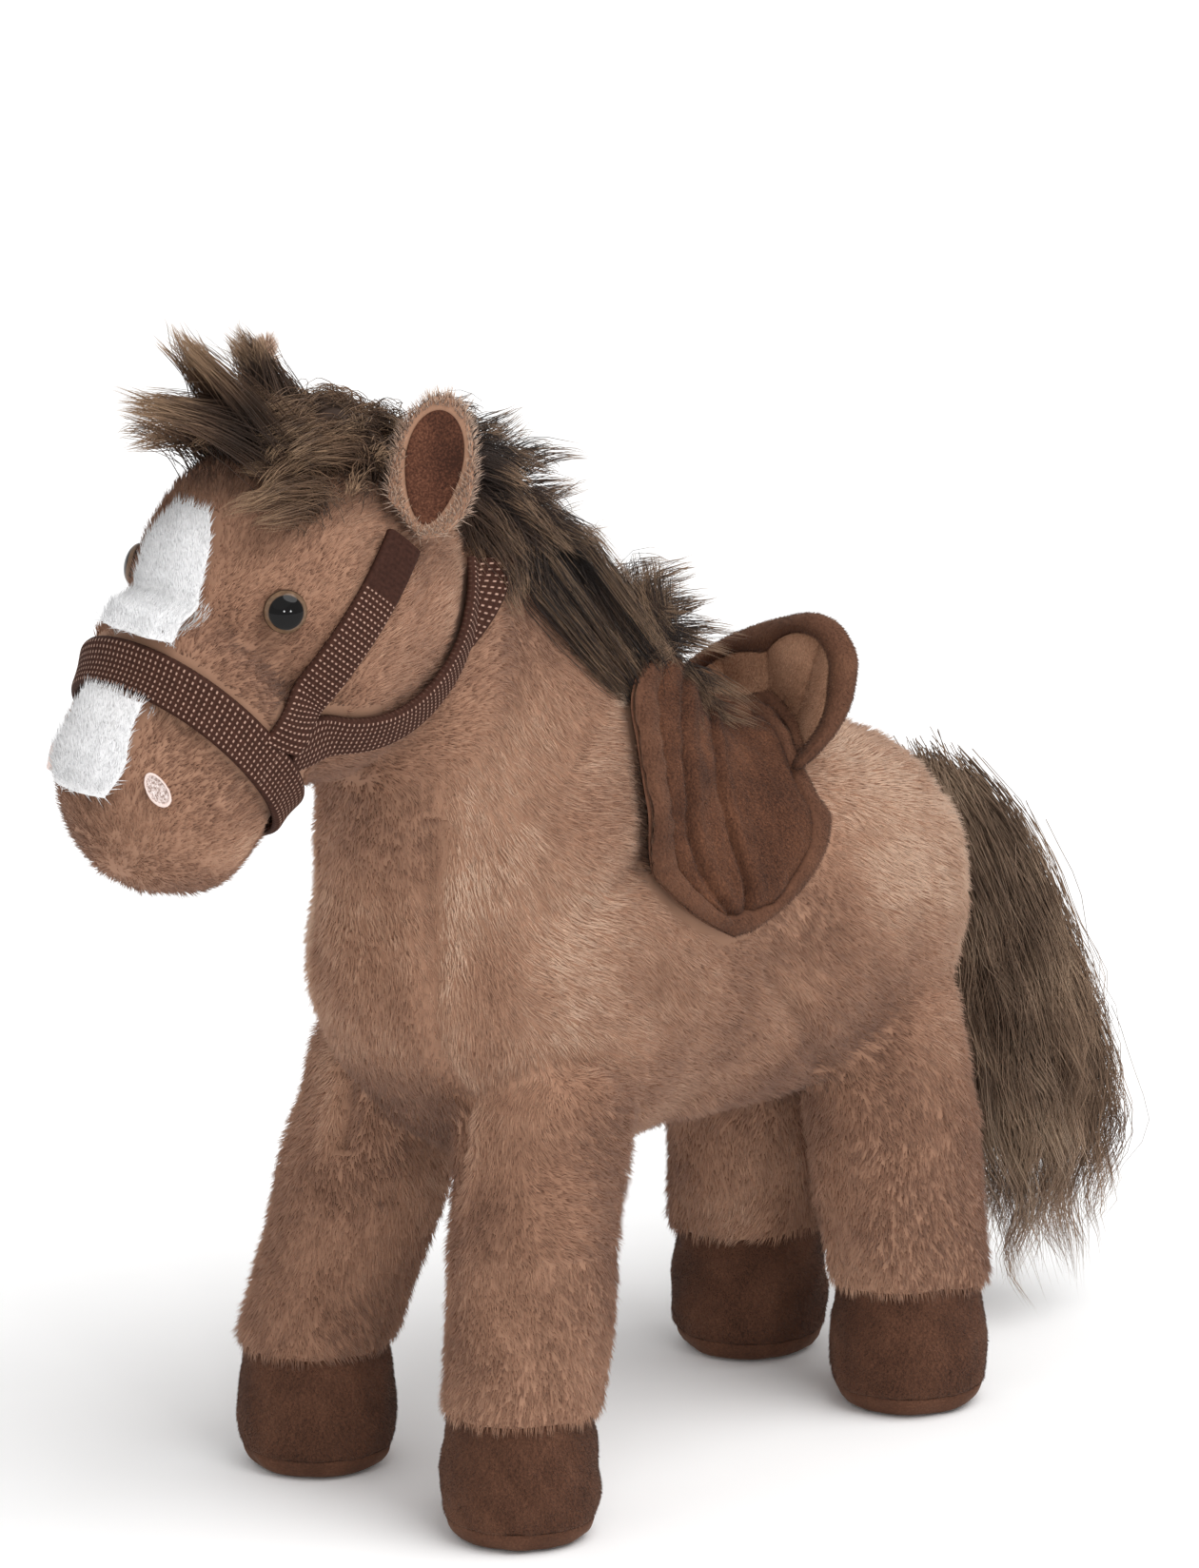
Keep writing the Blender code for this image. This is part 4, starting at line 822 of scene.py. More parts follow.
def laid_strap(name, node, path, surfaces, lift=-0.0003, plain_from=2, tuck=0):
    """A strap along a path round the middle of the head."""
    grid = np.empty((len(path), 13, 3))
    outward = np.empty_like(grid)
    along = np.gradient(path, axis=0)
    for step, place in enumerate(path):
        out = unit(place - HEAD_CENTRE)
        over = unit(np.cross(out, along[step])) * STRAP_WIDTH / 2
        for column, share in enumerate(np.linspace(-1, 1, 13)):
            grid[step, column], outward[step, column] = land(place + over * share, out, surfaces)
    for _ in range(30):
        grid[1:-1] = (grid[:-2] + grid[2:] + grid[1:-1] * 2) / 4
    grid, outward = fine(grid, *STRAP_COUNTS), fine(outward, *STRAP_COUNTS)
    normals = grid_normals(grid, outward)
    lift = lift - tuck * np.clip(1.6 - np.linspace(0, 1, len(grid)) / 0.08, 0, 1)[:, None, None]
    return strap(name, node, grid + normals * lift, normals, False, plain_from)


def laid_noseband():
    band = np.empty((*NOSEBAND_COUNTS, 3))
    outward = np.empty_like(band)
    middle = muzzle.middle(NOSEBAND_PLACE)
    for step, turn in enumerate(around(NOSEBAND_COUNTS[0])):
        out = muzzle.points(NOSEBAND_PLACE, turn)[0] - middle
        for column, share in enumerate(np.linspace(-1, 1, NOSEBAND_COUNTS[1])):
            aim = muzzle.points(NOSEBAND_PLACE + STRAP_WIDTH / 2 / MUZZLE_LENGTH * share, turn)[0]
            band[step, column], outward[step, column] = land(aim, out, FACE)
    for _ in range(60):
        band = (np.roll(band, 1, 0) + np.roll(band, -1, 0) + band * 2) / 4
    normals = grid_normals(band, outward, True)
    return strap("webbing_noseband", "noseband", band - normals * 0.0004, normals, True)


halter = [laid_noseband()]
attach(halter[0], "head_and_neck")
for side, side_name in SIDES:
    start = muzzle.points(NOSEBAND_PLACE - 0.0052 / MUZZLE_LENGTH, pi / 2 - side * pi / 2)[0]
    run = np.array(STRAP_TOP) * (side, 1, 1) - start
    path = smooth_path([start, start + run * 0.45, start + run * 0.86], 110)
    cheek = laid_strap("webbing_cheek_" + side_name, "cheek_strap_" + side_name, path, FACE, -0.0001, 0.74)
    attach(cheek, "head_and_neck")
    sizes = np.array((side * HEAD_HALF_WIDTH, HEAD_RADIUS, HEAD_RADIUS))
    path = smooth_path([HEAD_CENTRE + np.array(place) * sizes for place in THROAT_PLACES], 150)
    throat = laid_strap("webbing_throat_" + side_name, "throat_strap_" + side_name, path, [*FACE, NECK_TREE],
                        tuck=0.0014)
    halter += [cheek, follow(throat, "head")]


# The saddle

SADDLE_SHARES = (
    (0.0, -0.06, 1.30), (0.10, 0.12, 1.28), (0.20, 0.55, 1.20), (0.30, 0.93, 1.10), (0.42, 0.99, 0.97),
    (0.50, 1.00, 0.94), (0.59, 0.98, 0.98), (0.65, 0.94, 0.99), (0.72, 0.87, 0.91), (0.84, 0.70, 0.62),
    (0.94, 0.47, 0.25), (1.0, 0.30, -0.16),
)
SADDLE_REACH = radians(76)
SADDLE_ENDS = (0.0405, 0.0315)
SADDLE_GRID = (27, 9)
SADDLE_COUNTS = (401, 161)
BORDER = 0.0068
PANEL_SPAN = (0.145, 0.915)


def eased_grid(grid):
    """The inner points of a grid, each at the mean of its four neighbours."""
    return (grid[2:, 1:-1] + grid[:-2, 1:-1] + grid[1:-1, 2:] + grid[1:-1, :-2]) / 4


def saddle_base():
    """The underside of the saddle: draped as in the source, then sampled finely."""
    rows, columns = SADDLE_GRID
    surfaces = [TORSO_TREE, NECK_TREE]
    outward, lower = np.empty((2, rows, columns, 3))
    for step in range(rows):
        share = -1 + 2 * step / (rows - 1)
        front, rear = spread(SADDLE_SHARES, abs(share))[:, 0]
        front, rear = TORSO_MIDDLE[1] - SADDLE_ENDS[0] * front, TORSO_MIDDLE[1] + SADDLE_ENDS[1] * rear
        out = np.array((sin(SADDLE_REACH * share), 0, cos(SADDLE_REACH * share)))
        for column in range(columns):
            along = front + (rear - front) * column / (columns - 1)
            aim = np.array((0, along, TORSO_MIDDLE[2])) + out * TORSO_HALVES[1]
            place, normal = land(aim, out, surfaces)
            outward[step, column], lower[step, column] = out, np.array(place) + np.array(normal) * 0.0008
    for turn in range(11):
        if turn < 8:
            lower[1:-1, 1:-1] = eased_grid(lower)
        for step in range(rows - 1):
            for column in range(columns - 1):
                corners = [(step, column), (step, column + 1), (step + 1, column), (step + 1, column + 1)]
                for group in (corners, corners[:2], corners[2:], corners[::2], corners[1::2]):
                    row, place = zip(*group)
                    mean, out = lower[row, place].mean(0), unit(outward[row, place].sum(0))
                    short = 0.0005 + (np.array(land(mean, out, surfaces)[0]) - mean) @ out
                    if short > 0:
                        lower[row, place] += out * short
    base = fine(lower, *SADDLE_COUNTS)
    for _ in range(6):
        base[1:-1, 1:-1] = eased_grid(base)
    return base, grid_normals(base, fine(outward, *SADDLE_COUNTS))


def sample(grid, down, across):
    """Values of a fine grid at places from 0 to 1 down and across it."""
    row = np.clip(down, 0, 1) * (grid.shape[0] - 1)
    column = np.clip(across, 0, 1) * (grid.shape[1] - 1)
    first = np.minimum(row.astype(int), grid.shape[0] - 2)
    left = np.minimum(column.astype(int), grid.shape[1] - 2)
    row, column = (row - first)[..., None], (column - left)[..., None]
    upper = grid[first, left] * (1 - column) + grid[first, left + 1] * column
    lower = grid[first + 1, left] * (1 - column) + grid[first + 1, left + 1] * column
    return upper * (1 - row) + lower * row


base, base_normals = saddle_base()
row_widths = np.linalg.norm(np.diff(base, axis=1), axis=2).sum(1)
row_reach = np.concatenate([[0], np.cumsum(np.linalg.norm(np.diff(base[:, 80], axis=0), axis=1))])


def saddle_grid(rows, columns, first, last, inset):
    """Places down and across the base for a part of the saddle, their sizes, and their points and normals."""
    down = np.broadcast_to(np.linspace(first, last, rows)[:, None], (rows, columns))
    shares = np.linspace(0, 1, SADDLE_COUNTS[0])
    width, reach = np.interp(down, shares, row_widths), np.interp(down, shares, row_reach)
    margin = inset / width
    across = margin + np.linspace(0, 1, columns)[None] * (1 - 2 * margin)
    return down, across, reach, width, sample(base, down, across), unit(sample(base_normals, down, across))


def uneven(places, *waves):
    """Ripples over a grid of points, from rows of height, size and seed."""
    flat = places.reshape(-1, 3)
    return sum(height * ripple(flat, size, seed) for height, size, seed in waves).reshape(places.shape[:-1])


def roll(distance, width, height):
    return height * np.sqrt(np.maximum(0, 1 - ((distance - width / 2) / (width / 2)) ** 2))


def quarter(distance, width):
    """The rise of a quarter circle over a width, as a share of its height."""
    share = np.clip(distance / width, 0, 1)
    return np.sqrt(share * (2 - share))


def slab(name, low, top, trim):
    """A closed piece of saddle velour between two grids of the same size, joined all round."""
    rows, columns = low.shape[:2]
    count = rows * columns
    edge = np.concatenate([
        np.arange(columns), np.arange(1, rows) * columns + columns - 1,
        (rows - 1) * columns + np.arange(columns - 2, -1, -1), np.arange(rows - 2, 0, -1) * columns,
    ])
    after = np.roll(edge, -1)
    faces = np.concatenate([
        grid_faces(rows, columns, 0, False)[:, ::-1], grid_faces(rows, columns, count, False),
        np.stack([edge, after, after + count, edge + count], -1),
    ])
    mesh = make_mesh(name, np.concatenate([low.reshape(-1, 3), top.reshape(-1, 3)]), faces)
    add_attribute(mesh, "trim", np.tile(trim.ravel(), 2))
    return put(name, mesh, saddle_velour)


def saddle_cover():
    """The saddle's cloth, with a rolled border and two raised ridges beside the seat."""
    down, across, reach, width, place, normal = saddle_grid(360, 130, 0, 1, 0)
    edge = np.minimum(np.minimum(across, 1 - across) * width, np.minimum(reach, row_reach[-1] - reach))
    inside = rising(edge, BORDER, 0.002)
    ridge = bell(np.abs(2 * down - 1) - 0.095, 0.045) * inside
    rise = 0.0008 + roll(edge, BORDER, 0.0030) + inside * 0.0012 + ridge * 0.0030
    rise = rise + uneven(place, (0.00035, 0.0075, 9), (0.0005, 0.021, 10))
    trim = np.maximum(falling(edge, BORDER + 0.0004, 0.0006), 0.7 * np.clip(ridge, 0, 1))
    top = place + normal * np.maximum(rise, 0.0004)[..., None]
    cover = slab("saddle_cover", place - normal * 0.0004, top, trim)
    return dress(cover, ("saddle_pad",), "body")


def saddle_puff(side, side_name):
    """A padded panel of the saddle with two stitched grooves."""
    low, high = PANEL_SPAN
    down, across, reach, width, place, normal = saddle_grid(
        190, 96, (1 + side * low) / 2, (1 + side * high) / 2, BORDER - 0.0009)
    along = (np.abs(2 * down - 1) - low) / (high - low)
    part = (across - across[:, :1]) / (across[:, -1:] - across[:, :1])
    inner = width - 2 * BORDER
    rim = np.minimum(np.minimum(part, 1 - part) * inner, np.minimum(along, 1 - along) * np.ptp(reach))
    puff = 0.0036 * quarter(rim, 0.0085)
    for fold in (0.13 - 0.02 * along, 0.36 + 0.09 * along):
        away = (part - fold) * inner
        puff = puff * (1 - 0.84 * bell(away, 0.0015)) + 0.0007 * bell(away - 0.0035, 0.0022)
    puff = puff + uneven(place, (0.0004, 0.016, 12), (0.0002, 0.006, 13))
    top = place + normal * (0.0012 + np.maximum(puff, 0))[..., None]
    panel = slab("saddle_puff_" + side_name, place + normal * 0.0005, top, 0 * puff)
    return dress(panel, ("saddle_panel_" + side_name,), "body")


CANTLE_SHARES = (
    (0.98, 0.05), (1.0, 0.25), (0.96, 0.5), (0.92, 0.74), (0.80, 0.90), (0.66, 0.985), (0.42, 1.0),
    (0.12, 0.90), (-0.20, 0.76), (-0.50, 0.60), (-0.75, 0.42), (-0.92, 0.22), (-1.0, 0.02), (-0.95, -0.14),
    (-0.70, -0.10), (-0.35, 0.0), (0.0, 0.02), (0.35, 0.0), (0.70, -0.10), (0.90, -0.08),
)
CANTLE_SIZES = (0.0350, 0.0340)
CANTLE_CURL = 0.0200
CANTLE_BASE = TORSO_MIDDLE + (0.004, 0.0465, 0.0520)
CANTLE_ROWS = (56, 39)
CANTLE_BEAD = 0.0078


def cantle_cushion():
    """The rest behind the seat: a fan of folded lining in a thick bead, plain behind."""
    count = len(CANTLE_SHARES)
    rows = [(step, *CANTLE_SHARES[step % count]) for step in range(-3, count + 4)]
    outline = spread(rows, np.linspace(0, count, 260, endpoint=False)).T * CANTLE_SIZES
    heart = np.array((0, CANTLE_SIZES[1] * 0.42))
    front, back = CANTLE_ROWS
    spans = np.concatenate([np.linspace(0.02, 1, front), np.linspace(1, 0.02, back + 1)[1:]])
    facing = np.repeat((-1.0, 1.0), CANTLE_ROWS)[:, None]
    flat = heart + (outline - heart)[None] * spans[:, None, None]
    rim = (1 - spans)[:, None] * np.linalg.norm(outline - heart, axis=1)[None]
    turned = np.arctan2(flat[..., 0] - 0.002, flat[..., 1] + 0.030)
    folds = np.abs(np.sin(turned * 8.5 + 0.6)) ** 0.7
    grown = rising(np.linalg.norm(flat - (0.002, -0.004), axis=-1), 0.006, 0.02)
    lining = np.where(rim > CANTLE_BEAD, 0.0012 + 0.0020 * folds * grown, 0)
    front_depth = np.maximum(roll(rim, CANTLE_BEAD, 0.0046), lining) + 0.0003
    depth = np.where(facing < 0, front_depth, 0.0040 * quarter(rim, 0.010))
    low = np.maximum(0, 1 - flat[..., 1] / CANTLE_SIZES[1])
    curl = CANTLE_CURL * (flat[..., 0] / CANTLE_SIZES[0]) ** 2 * low**3
    grid = np.stack([flat[..., 0], depth * facing - curl, flat[..., 1]], -1) + CANTLE_BASE
    trim = np.where(facing < 0, falling(rim, CANTLE_BEAD + 0.0004, 0.0008), 1.0)
    piece = capped("cantle_cushion", grid, cantle_velour, trim)
    return dress(piece, ("saddle_cantle",), "body")


pad = saddle_cover()
puffs = [saddle_puff(side, side_name) for side, side_name in SIDES]
cantle = cantle_cushion()


# Hooves

HOOF_ROWS = (
    (0.0063, 0.0205), (0.0068, 0.0209), (0.0095, 0.0215), (0.0150, 0.0219), (0.0250, 0.0212),
    (0.0360, 0.0194), (0.0437, 0.0176),
)
SOLE_ROWS = (
    (0.0, 0.0148), (0.0005, 0.0166), (0.0016, 0.0184), (0.0034, 0.0198), (0.0052, 0.0205), (0.0062, 0.0205),
)


def turned_piece(name, rows, foot, seed, steps, sides=120):
    """A round velour piece over a foot, slightly uneven, from rows of height and radius."""
    start, end = rows[0][0], rows[-1][0]
    table = [((height - start) / (end - start), height, radius) for height, radius in rows]
    heights, radii = spread(table, np.linspace(0, 1, steps))[:, :, None, None]
    grid = circle(sides) * radii + UP * heights + (*foot, 0)
    bumps = uneven(grid, (0.0003, 0.012, seed), (0.00012, 0.0045, seed + 1))
    return capped(name, grid + circle(sides) * bumps[..., None], hoof_velour, 0, (0, 0), (True, True))


hooves = {}
for end, (_, foot, _) in LEGS.items():
    for side, side_name in SIDES:
        name, place = end + "_" + side_name, (foot[0] * side, foot[1])
        hoof = turned_piece("velour_hoof_" + name, HOOF_ROWS, place, 21 + len(hooves), 60)
        sole = turned_piece("velour_sole_" + name, SOLE_ROWS, place, 31 + len(hooves), 24)
        for piece, node in ((hoof, "hoof_"), (sole, "sole_")):
            dress(piece, (node + name,), name + "_leg")
        hooves[name] = hoof


# Eyes and nostrils

EYE_TOWARD = (0.66, -0.71, 0.24)
EYE_RADIUS, EYE_HEIGHT, EYE_SEAT = 0.0060, 0.0036, -0.0014
EYE_BACK = ((-0.0052, 0.0050), (-0.0024, 0.0060))
NOSTRIL_PLACE = 0.73
NOSTRIL_TURN = radians(44)
NOSTRIL_HALVES = (0.0049, 0.0031)
NOSTRIL_COUNTS = (34, 8, 180)


def eye_dome(side, side_name):
    place, normal = land(HEAD_CENTRE, np.array(EYE_TOWARD) * (side, 1, 1), FACE)
    axes = np.array(Vector(normal).to_track_quat("Z", "Y").to_matrix())
    arc = np.linspace(0, pi / 2, 26)
    rows = [*EYE_BACK, *((EYE_SEAT + EYE_HEIGHT * sin(angle), EYE_RADIUS * cos(angle)) for angle in arc)]
    rises, radii = np.array(rows).T[:, :, None, None]
    rings = (circle(72) * radii + UP * rises) @ axes.T + np.array(place)
    trim = radii[..., 0] / EYE_RADIUS
    dome = capped("eye_dome_" + side_name, rings, eye_gloss, trim, (0,), (False, True))
    dress(dome, ("eye_" + side_name,), "head_and_neck")
    return np.array(place)


def nostril_patch(side, side_name):
    """An embroidered oval with a raised rim, laid on the muzzle."""
    aim = muzzle.points(NOSTRIL_PLACE, pi / 2 - side * (pi / 2 - NOSTRIL_TURN))[0]
    outward = unit(aim - muzzle.middle(NOSTRIL_PLACE))
    upward = unit(UP - outward * outward[2])
    across = np.cross(outward, upward)
    if across[1] > 0:
        across = -across
    front, back, columns = NOSTRIL_COUNTS
    spans = np.concatenate([np.linspace(0.02, 1, front), np.linspace(0.97, 0.02, back)])
    rings = np.empty((len(spans), columns, 3))
    for column, angle in enumerate(around(columns)):
        for row, span in enumerate(spans):
            if row >= front:
                above = rings[front - 1 - (row - front + 1) * 4, column]
                rings[row, column] = above - np.array(normal) * 0.0022
                continue
            rise = NOSTRIL_HALVES[0] * cos(angle) * span
            wide = NOSTRIL_HALVES[1] * sin(angle) * (1 - 0.14 * cos(angle)) * span
            spot, normal = land(aim + upward * rise + across * (wide + rise * 0.40), outward, FACE)
            stitch = 0.00012 * sin(wide * 9500 + 1.2 * sin(rise * 5200)) * (span < 0.80)
            bead = 0.0010 * sin(pi * min(1, max(0, (1 - span) / 0.20)))
            height = -0.0014 + bead + 0.0004 * (span < 0.86) + stitch
            rings[row, column] = np.array(spot) + np.array(normal) * height
    rim = np.concatenate([rising(spans[:front], 0.78, 0.06), np.ones(back)])[:, None]
    patch = capped("nostril_patch_" + side_name, rings, thread, rim)
    dress(patch, ("nostril_" + side_name,), "head_and_neck")
    return np.array(land(aim, outward, FACE)[0])


face_places = [(eye_dome(*side), nostril_patch(*side)) for side in SIDES]
eye_places, nostril_places = zip(*face_places)
for _, side_name in SIDES:
    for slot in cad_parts["eye_washer_" + side_name].material_slots:
        slot.material = washer_plastic


# Ears and the white panels of the face

LINING_COUNTS = (30, 8, 160)


def lining_oval(side, side_name, ear):
    """A velour oval, round above and narrower below, laid on the ear where its lining is sewn."""
    spots = arrays(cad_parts["ear_lining_" + side_name].data)[0]
    middle = spots.mean(0)
    axes = np.linalg.svd(spots - middle, full_matrices=False)[2]
    tall, wide, outward = axes * np.sign((axes * ((0, 0, 1), (side, 0, 0), (0, -1, 0))).sum(1))[:, None]
    half_tall = np.ptp((spots - middle) @ tall) / 2 * 1.01
    half_wide = np.ptp((spots - middle) @ wide) / 2 * 1.07
    middle = middle + tall * ((spots - middle) @ tall + half_tall).min()
    surface = tree_of_pieces(ear)
    front, back, columns = LINING_COUNTS
    spans = np.concatenate([np.linspace(0.02, 1, front), np.linspace(0.96, 0.02, back)])
    rings = np.empty((len(spans), columns, 3))
    for column, angle in enumerate(around(columns)):
        narrow = 1 - 0.34 * ((1 - sin(angle)) / 2) ** 1.4
        for row, span in enumerate(spans):
            aim = middle + (tall * half_tall * sin(angle) + wide * half_wide * cos(angle) * narrow) * span
            spot, normal = land(aim, outward, [surface])
            height = 0.0002 + 0.0006 * np.sqrt(max(0, 1 - span**8)) if row < front else -0.0004
            rings[row, column] = np.array(spot) + np.array(normal) * height
    for _ in range(3):
        rings[1:-1] = (rings[2:] + rings[:-2] + rings[1:-1] * 2) / 4
        rings = (np.roll(rings, 1, 1) + np.roll(rings, -1, 1) + rings * 2) / 4
    return capped("ear_velvet_" + side_name, rings, lining_velour, 0, (0, 0))


def make_ear(side, side_name, random):
    """An ear's skin, its lining, and the fuzz round the lining."""
    body = side_name + "_ear"
    name = "ear_skin_" + side_name
    ear = put(name, refined(name, "ear_" + side_name, 0.0006, 6), plush_cloth)
    dress(ear, ("ear_" + side_name,), body)
    velvet = dress(lining_oval(side, side_name, ear), ("ear_lining_" + side_name,), body)
    roots, outward = scatter(*arrays(ear.data), 260, random)
    reach = reach_of(tree_of_pieces(velvet), roots, 0.004)
    clear = (reach > 0.0011) & (outward[:, 2] > -0.9)
    roots, outward, reach = roots[clear], outward[clear], reach[clear]
    count = len(roots)
    near = falling(reach, 0.0035, 0.0025)[:, None]
    lean = unit(outward * 0.62 + (UP * 0.62 + random.normal(0, 0.22, roots.shape)) + outward * near * 0.3)
    lengths, own_tones = random.uniform(0.0030, 0.0048, count), random.random(count)
    fuzz = spikes("ear_fuzz_" + side_name, roots - outward * 0.0003, lean, lengths,
                  random.uniform(0.00013, 0.00022, count), own_tones, ear_pile)
    dress(fuzz, body=body)


def make_panel(part, flow, random):
    """A white plush panel and its pile. Its tree is returned."""
    mesh = refined("white_" + part, "blaze_" + part, 0.0005, 5)
    panel = dress(put("white_" + part, mesh, white_cloth), ("blaze_" + part,), "head_and_neck")
    roots, outward = scatter(*arrays(mesh), 240, random)
    clear = ((roots - HEAD_CENTRE) * outward).sum(1) > 0.004
    roots, outward = roots[clear], outward[clear]
    count = len(roots)
    flow = along_surface(np.array(flow) + random.normal(0, 0.22, roots.shape), outward)
    pile = spikes("white_pile_" + part, roots - outward * 0.0004, unit(outward * 0.52 + flow * 0.9),
                  random.uniform(0.0028, 0.0044, count), random.uniform(0.00014, 0.00022, count),
                  random.random(count), white_pile)
    dress(pile, body="head_and_neck")
    return tree_of_pieces(panel)


random = np.random.default_rng(7)
for side, side_name in SIDES:
    make_ear(side, side_name, random)
white_trees = [
    make_panel("forehead", (0, 0.55, 0.85), random),
    make_panel("nose", (0, 0.75, 0.66), random),
]


# The short nap of the velours


def nap(name, piece, body, seed, inner, outer, keep=None):
    """Short velvet strands over a velour piece: one tone inside, another on its trim."""
    random = np.random.default_rng(seed)
    points, normals, triangles = arrays(piece.data)
    trim = np.zeros(len(points), np.float32)
    piece.data.attributes["trim"].data.foreach_get("value", trim)
    roots, outward = scatter(points, normals, triangles, 300, random)
    edge = trim[nearest(roots, points)] > 0.5
    shown = np.ones(len(roots), bool) if keep is None else keep(roots, outward)
    flow = along_surface(np.array((0, 0.35, -0.9)) + random.normal(0, 0.30, roots.shape), outward)
    lean = unit(outward * 0.75 + flow)
    for part, chosen, material in (("", ~edge & shown, inner), ("_trim", edge & shown, outer)):
        count = chosen.sum()
        if count > 50:
            made = spikes("nap_" + name + part, (roots - outward * 0.0002)[chosen], lean[chosen],
                          random.uniform(0.0009, 0.0015, count), random.uniform(0.00009, 0.00015, count),
                          random.random(count), material)
            dress(made, body=body)


def outness(roots, outward):
    """How far the surface faces away from the middle of the torso."""
    return ((roots - TORSO_MIDDLE) * outward)[:, [0, 2]].sum(1)


puff_tree = tree_of_pieces(*puffs)
nap("saddle", pad, "body", 120, saddle_nap, trim_nap,
    lambda roots, outward: (reach_of(puff_tree, roots, 0.003) > 0.0013) & (outness(roots, outward) > 0))
for number, puff in enumerate(puffs):
    nap("panel" + str(number), puff, "body", 121 + number, saddle_nap, trim_nap,
        lambda roots, outward: outness(roots, outward) > 0.01)
nap("cantle", cantle, "body", 123, cantle_nap, trim_nap)
for number, (name, hoof) in enumerate(hooves.items()):
    nap("hoof_" + name, hoof, name + "_leg", 125 + number, hoof_nap, hoof_nap,
        lambda roots, outward: (roots[:, 2] < 0.0415) & (roots[:, 2] > 0.0064))


# The plush coat

COAT_DENSITY = 165
WHITE_BRIDGE = 9  # the head's part that is white, between the panels
STRAPS, SADDLE = tree_of_pieces(*halter), tree_of_pieces(pad, cantle)


def gusset_reach(places):
    """1 on the front of the chest and throat, where the gusset is sewn in, and 0 away from it."""
    _, y, z = places.T
    return falling(y, -0.050, 0.01) * rising(z, 0.088, 0.01) * falling(z, 0.222, 0.01)


def combed(places, normals, region):
    """Which way the pile lies: back from the nose, down the neck and legs, and back along the body."""
    x, y, z = places.T
    leg = region.startswith("leg")
    flow = np.tile((0.0, 0.10, -1.0) if leg else (0.0, 0.9, -0.62), (len(places), 1))
    turns = []
    if region == "head":
        ahead = (places - HEAD_CENTRE) @ MUZZLE_FORWARD
        face = np.maximum(falling(np.linalg.norm(places - HEAD_CENTRE, axis=1), 0.066, 0.012),
                          rising(ahead, 0.02, 0.02) * falling(y, -0.100, 0.015))
        turns = [(1, (0, 0.42, -0.92)), (face, (0, 0.80, 0.34))]
    elif region == "torso":
        turns = [(falling(y, -0.035, 0.04), (0, 0.30, -1.0)), (rising(y, 0.085, 0.04), (0, 0.45, -0.95)),
                 (falling(z, 0.118, 0.03), (0, 0.55, -0.8))]
    for share, toward in turns:
        share = np.reshape(share, (-1, 1))
        flow = flow * (1 - share) + np.array(toward) * share
    flow = flow + 0.32 * np.stack([ripple(places, 0.045, seed) for seed in (50, 51, 52)], -1)
    if not leg:
        away = np.abs(x) - GUSSET_HALF
        parting = np.where(away > 0, 0.75, 0.35) * bell(away, 0.011) * np.sign(x) * gusset_reach(places)
        flow = flow + parting[:, None] * SIDE
    return along_surface(flow, normals)


def painted_light_and_shade(places, region):
    """Painted light and shade on the pile: lighter on the back, rump, shoulder and chest, darker on face,
    legs and lower flank.
    """
    x, y, z = np.abs(places[:, 0]), places[:, 1], places[:, 2]
    # painted light beside the gusset seam and painted shade on the gusset itself
    seam_light_and_shade = gusset_reach(places) * (0.75 * bell(x - 0.0285, 0.0035) - 0.40 * (x < GUSSET_HALF))
    # on the head: painted shade over the head, and more of it on the muzzle
    if region == "head":
        ahead = rising((places - HEAD_CENTRE) @ MUZZLE_FORWARD, 0.01, 0.03) * falling(y, -0.100, 0.015)
        return -0.60 * rising(z, 0.215, 0.03) - 0.60 * ahead + seam_light_and_shade
    low = falling(z, 0.135, 0.035)
    lit_rump = rising(y, 0.045, 0.03) * rising(z, 0.125, 0.04)
    back = rising(z, 0.15, 0.05) * rising(y, -0.055, 0.03)
    lit_shoulder = bell(y + 0.045, 0.024) * bell(z - 0.170, 0.032)
    flank = bell(y - 0.025, 0.030) * falling(z, 0.185, 0.03)
    chest = falling(y, -0.055, 0.01) * rising(z, 0.125, 0.02)
    # painted light on the rump, back, shoulder and chest; painted shade low down and on the lower flank
    light = 1.20 * lit_rump + 0.20 * back * (1 - lit_rump) + 0.95 * lit_shoulder + 0.30 * chest
    return light - 0.60 * low - 0.40 * flank + seam_light_and_shade


def clearance(tree, roots, outward, region, furthest):
    """How far each root is from what is laid on the plush; hair that lies away from it counts as free."""
    flow = combed(roots, outward, region)
    found = np.full(len(roots), furthest)
    for index, place in enumerate(roots.tolist()):
        spot, _, _, distance = tree.find_nearest(place, furthest)
        if spot is not None:
            away = roots[index] - np.array(spot)
            beside = -(away @ outward[index]) < 0.75 * distance
            found[index] = 0.0046 if beside and away @ flow[index] > 0 else distance
    return found


def free_reach(roots, outward, region):
    """How much room the pile has at each root beside straps, panels, eyes, nostrils and saddle."""
    if region == "torso":
        return clearance(SADDLE, roots, outward, region, 0.0075) - 0.0014
    if region != "head":
        return np.full(len(roots), 0.006)
    free = clearance(STRAPS, roots, outward, region, 0.006)
    for tree in white_trees:
        free = np.minimum(free, reach_of(tree, roots, 0.0075) - 0.0013)
    for places, bare in ((nostril_places, 0.0040), (eye_places, 0.0064)):
        for place in places:
            free = np.where(np.linalg.norm(roots - place, axis=1) < bare, 0, free)
    return free


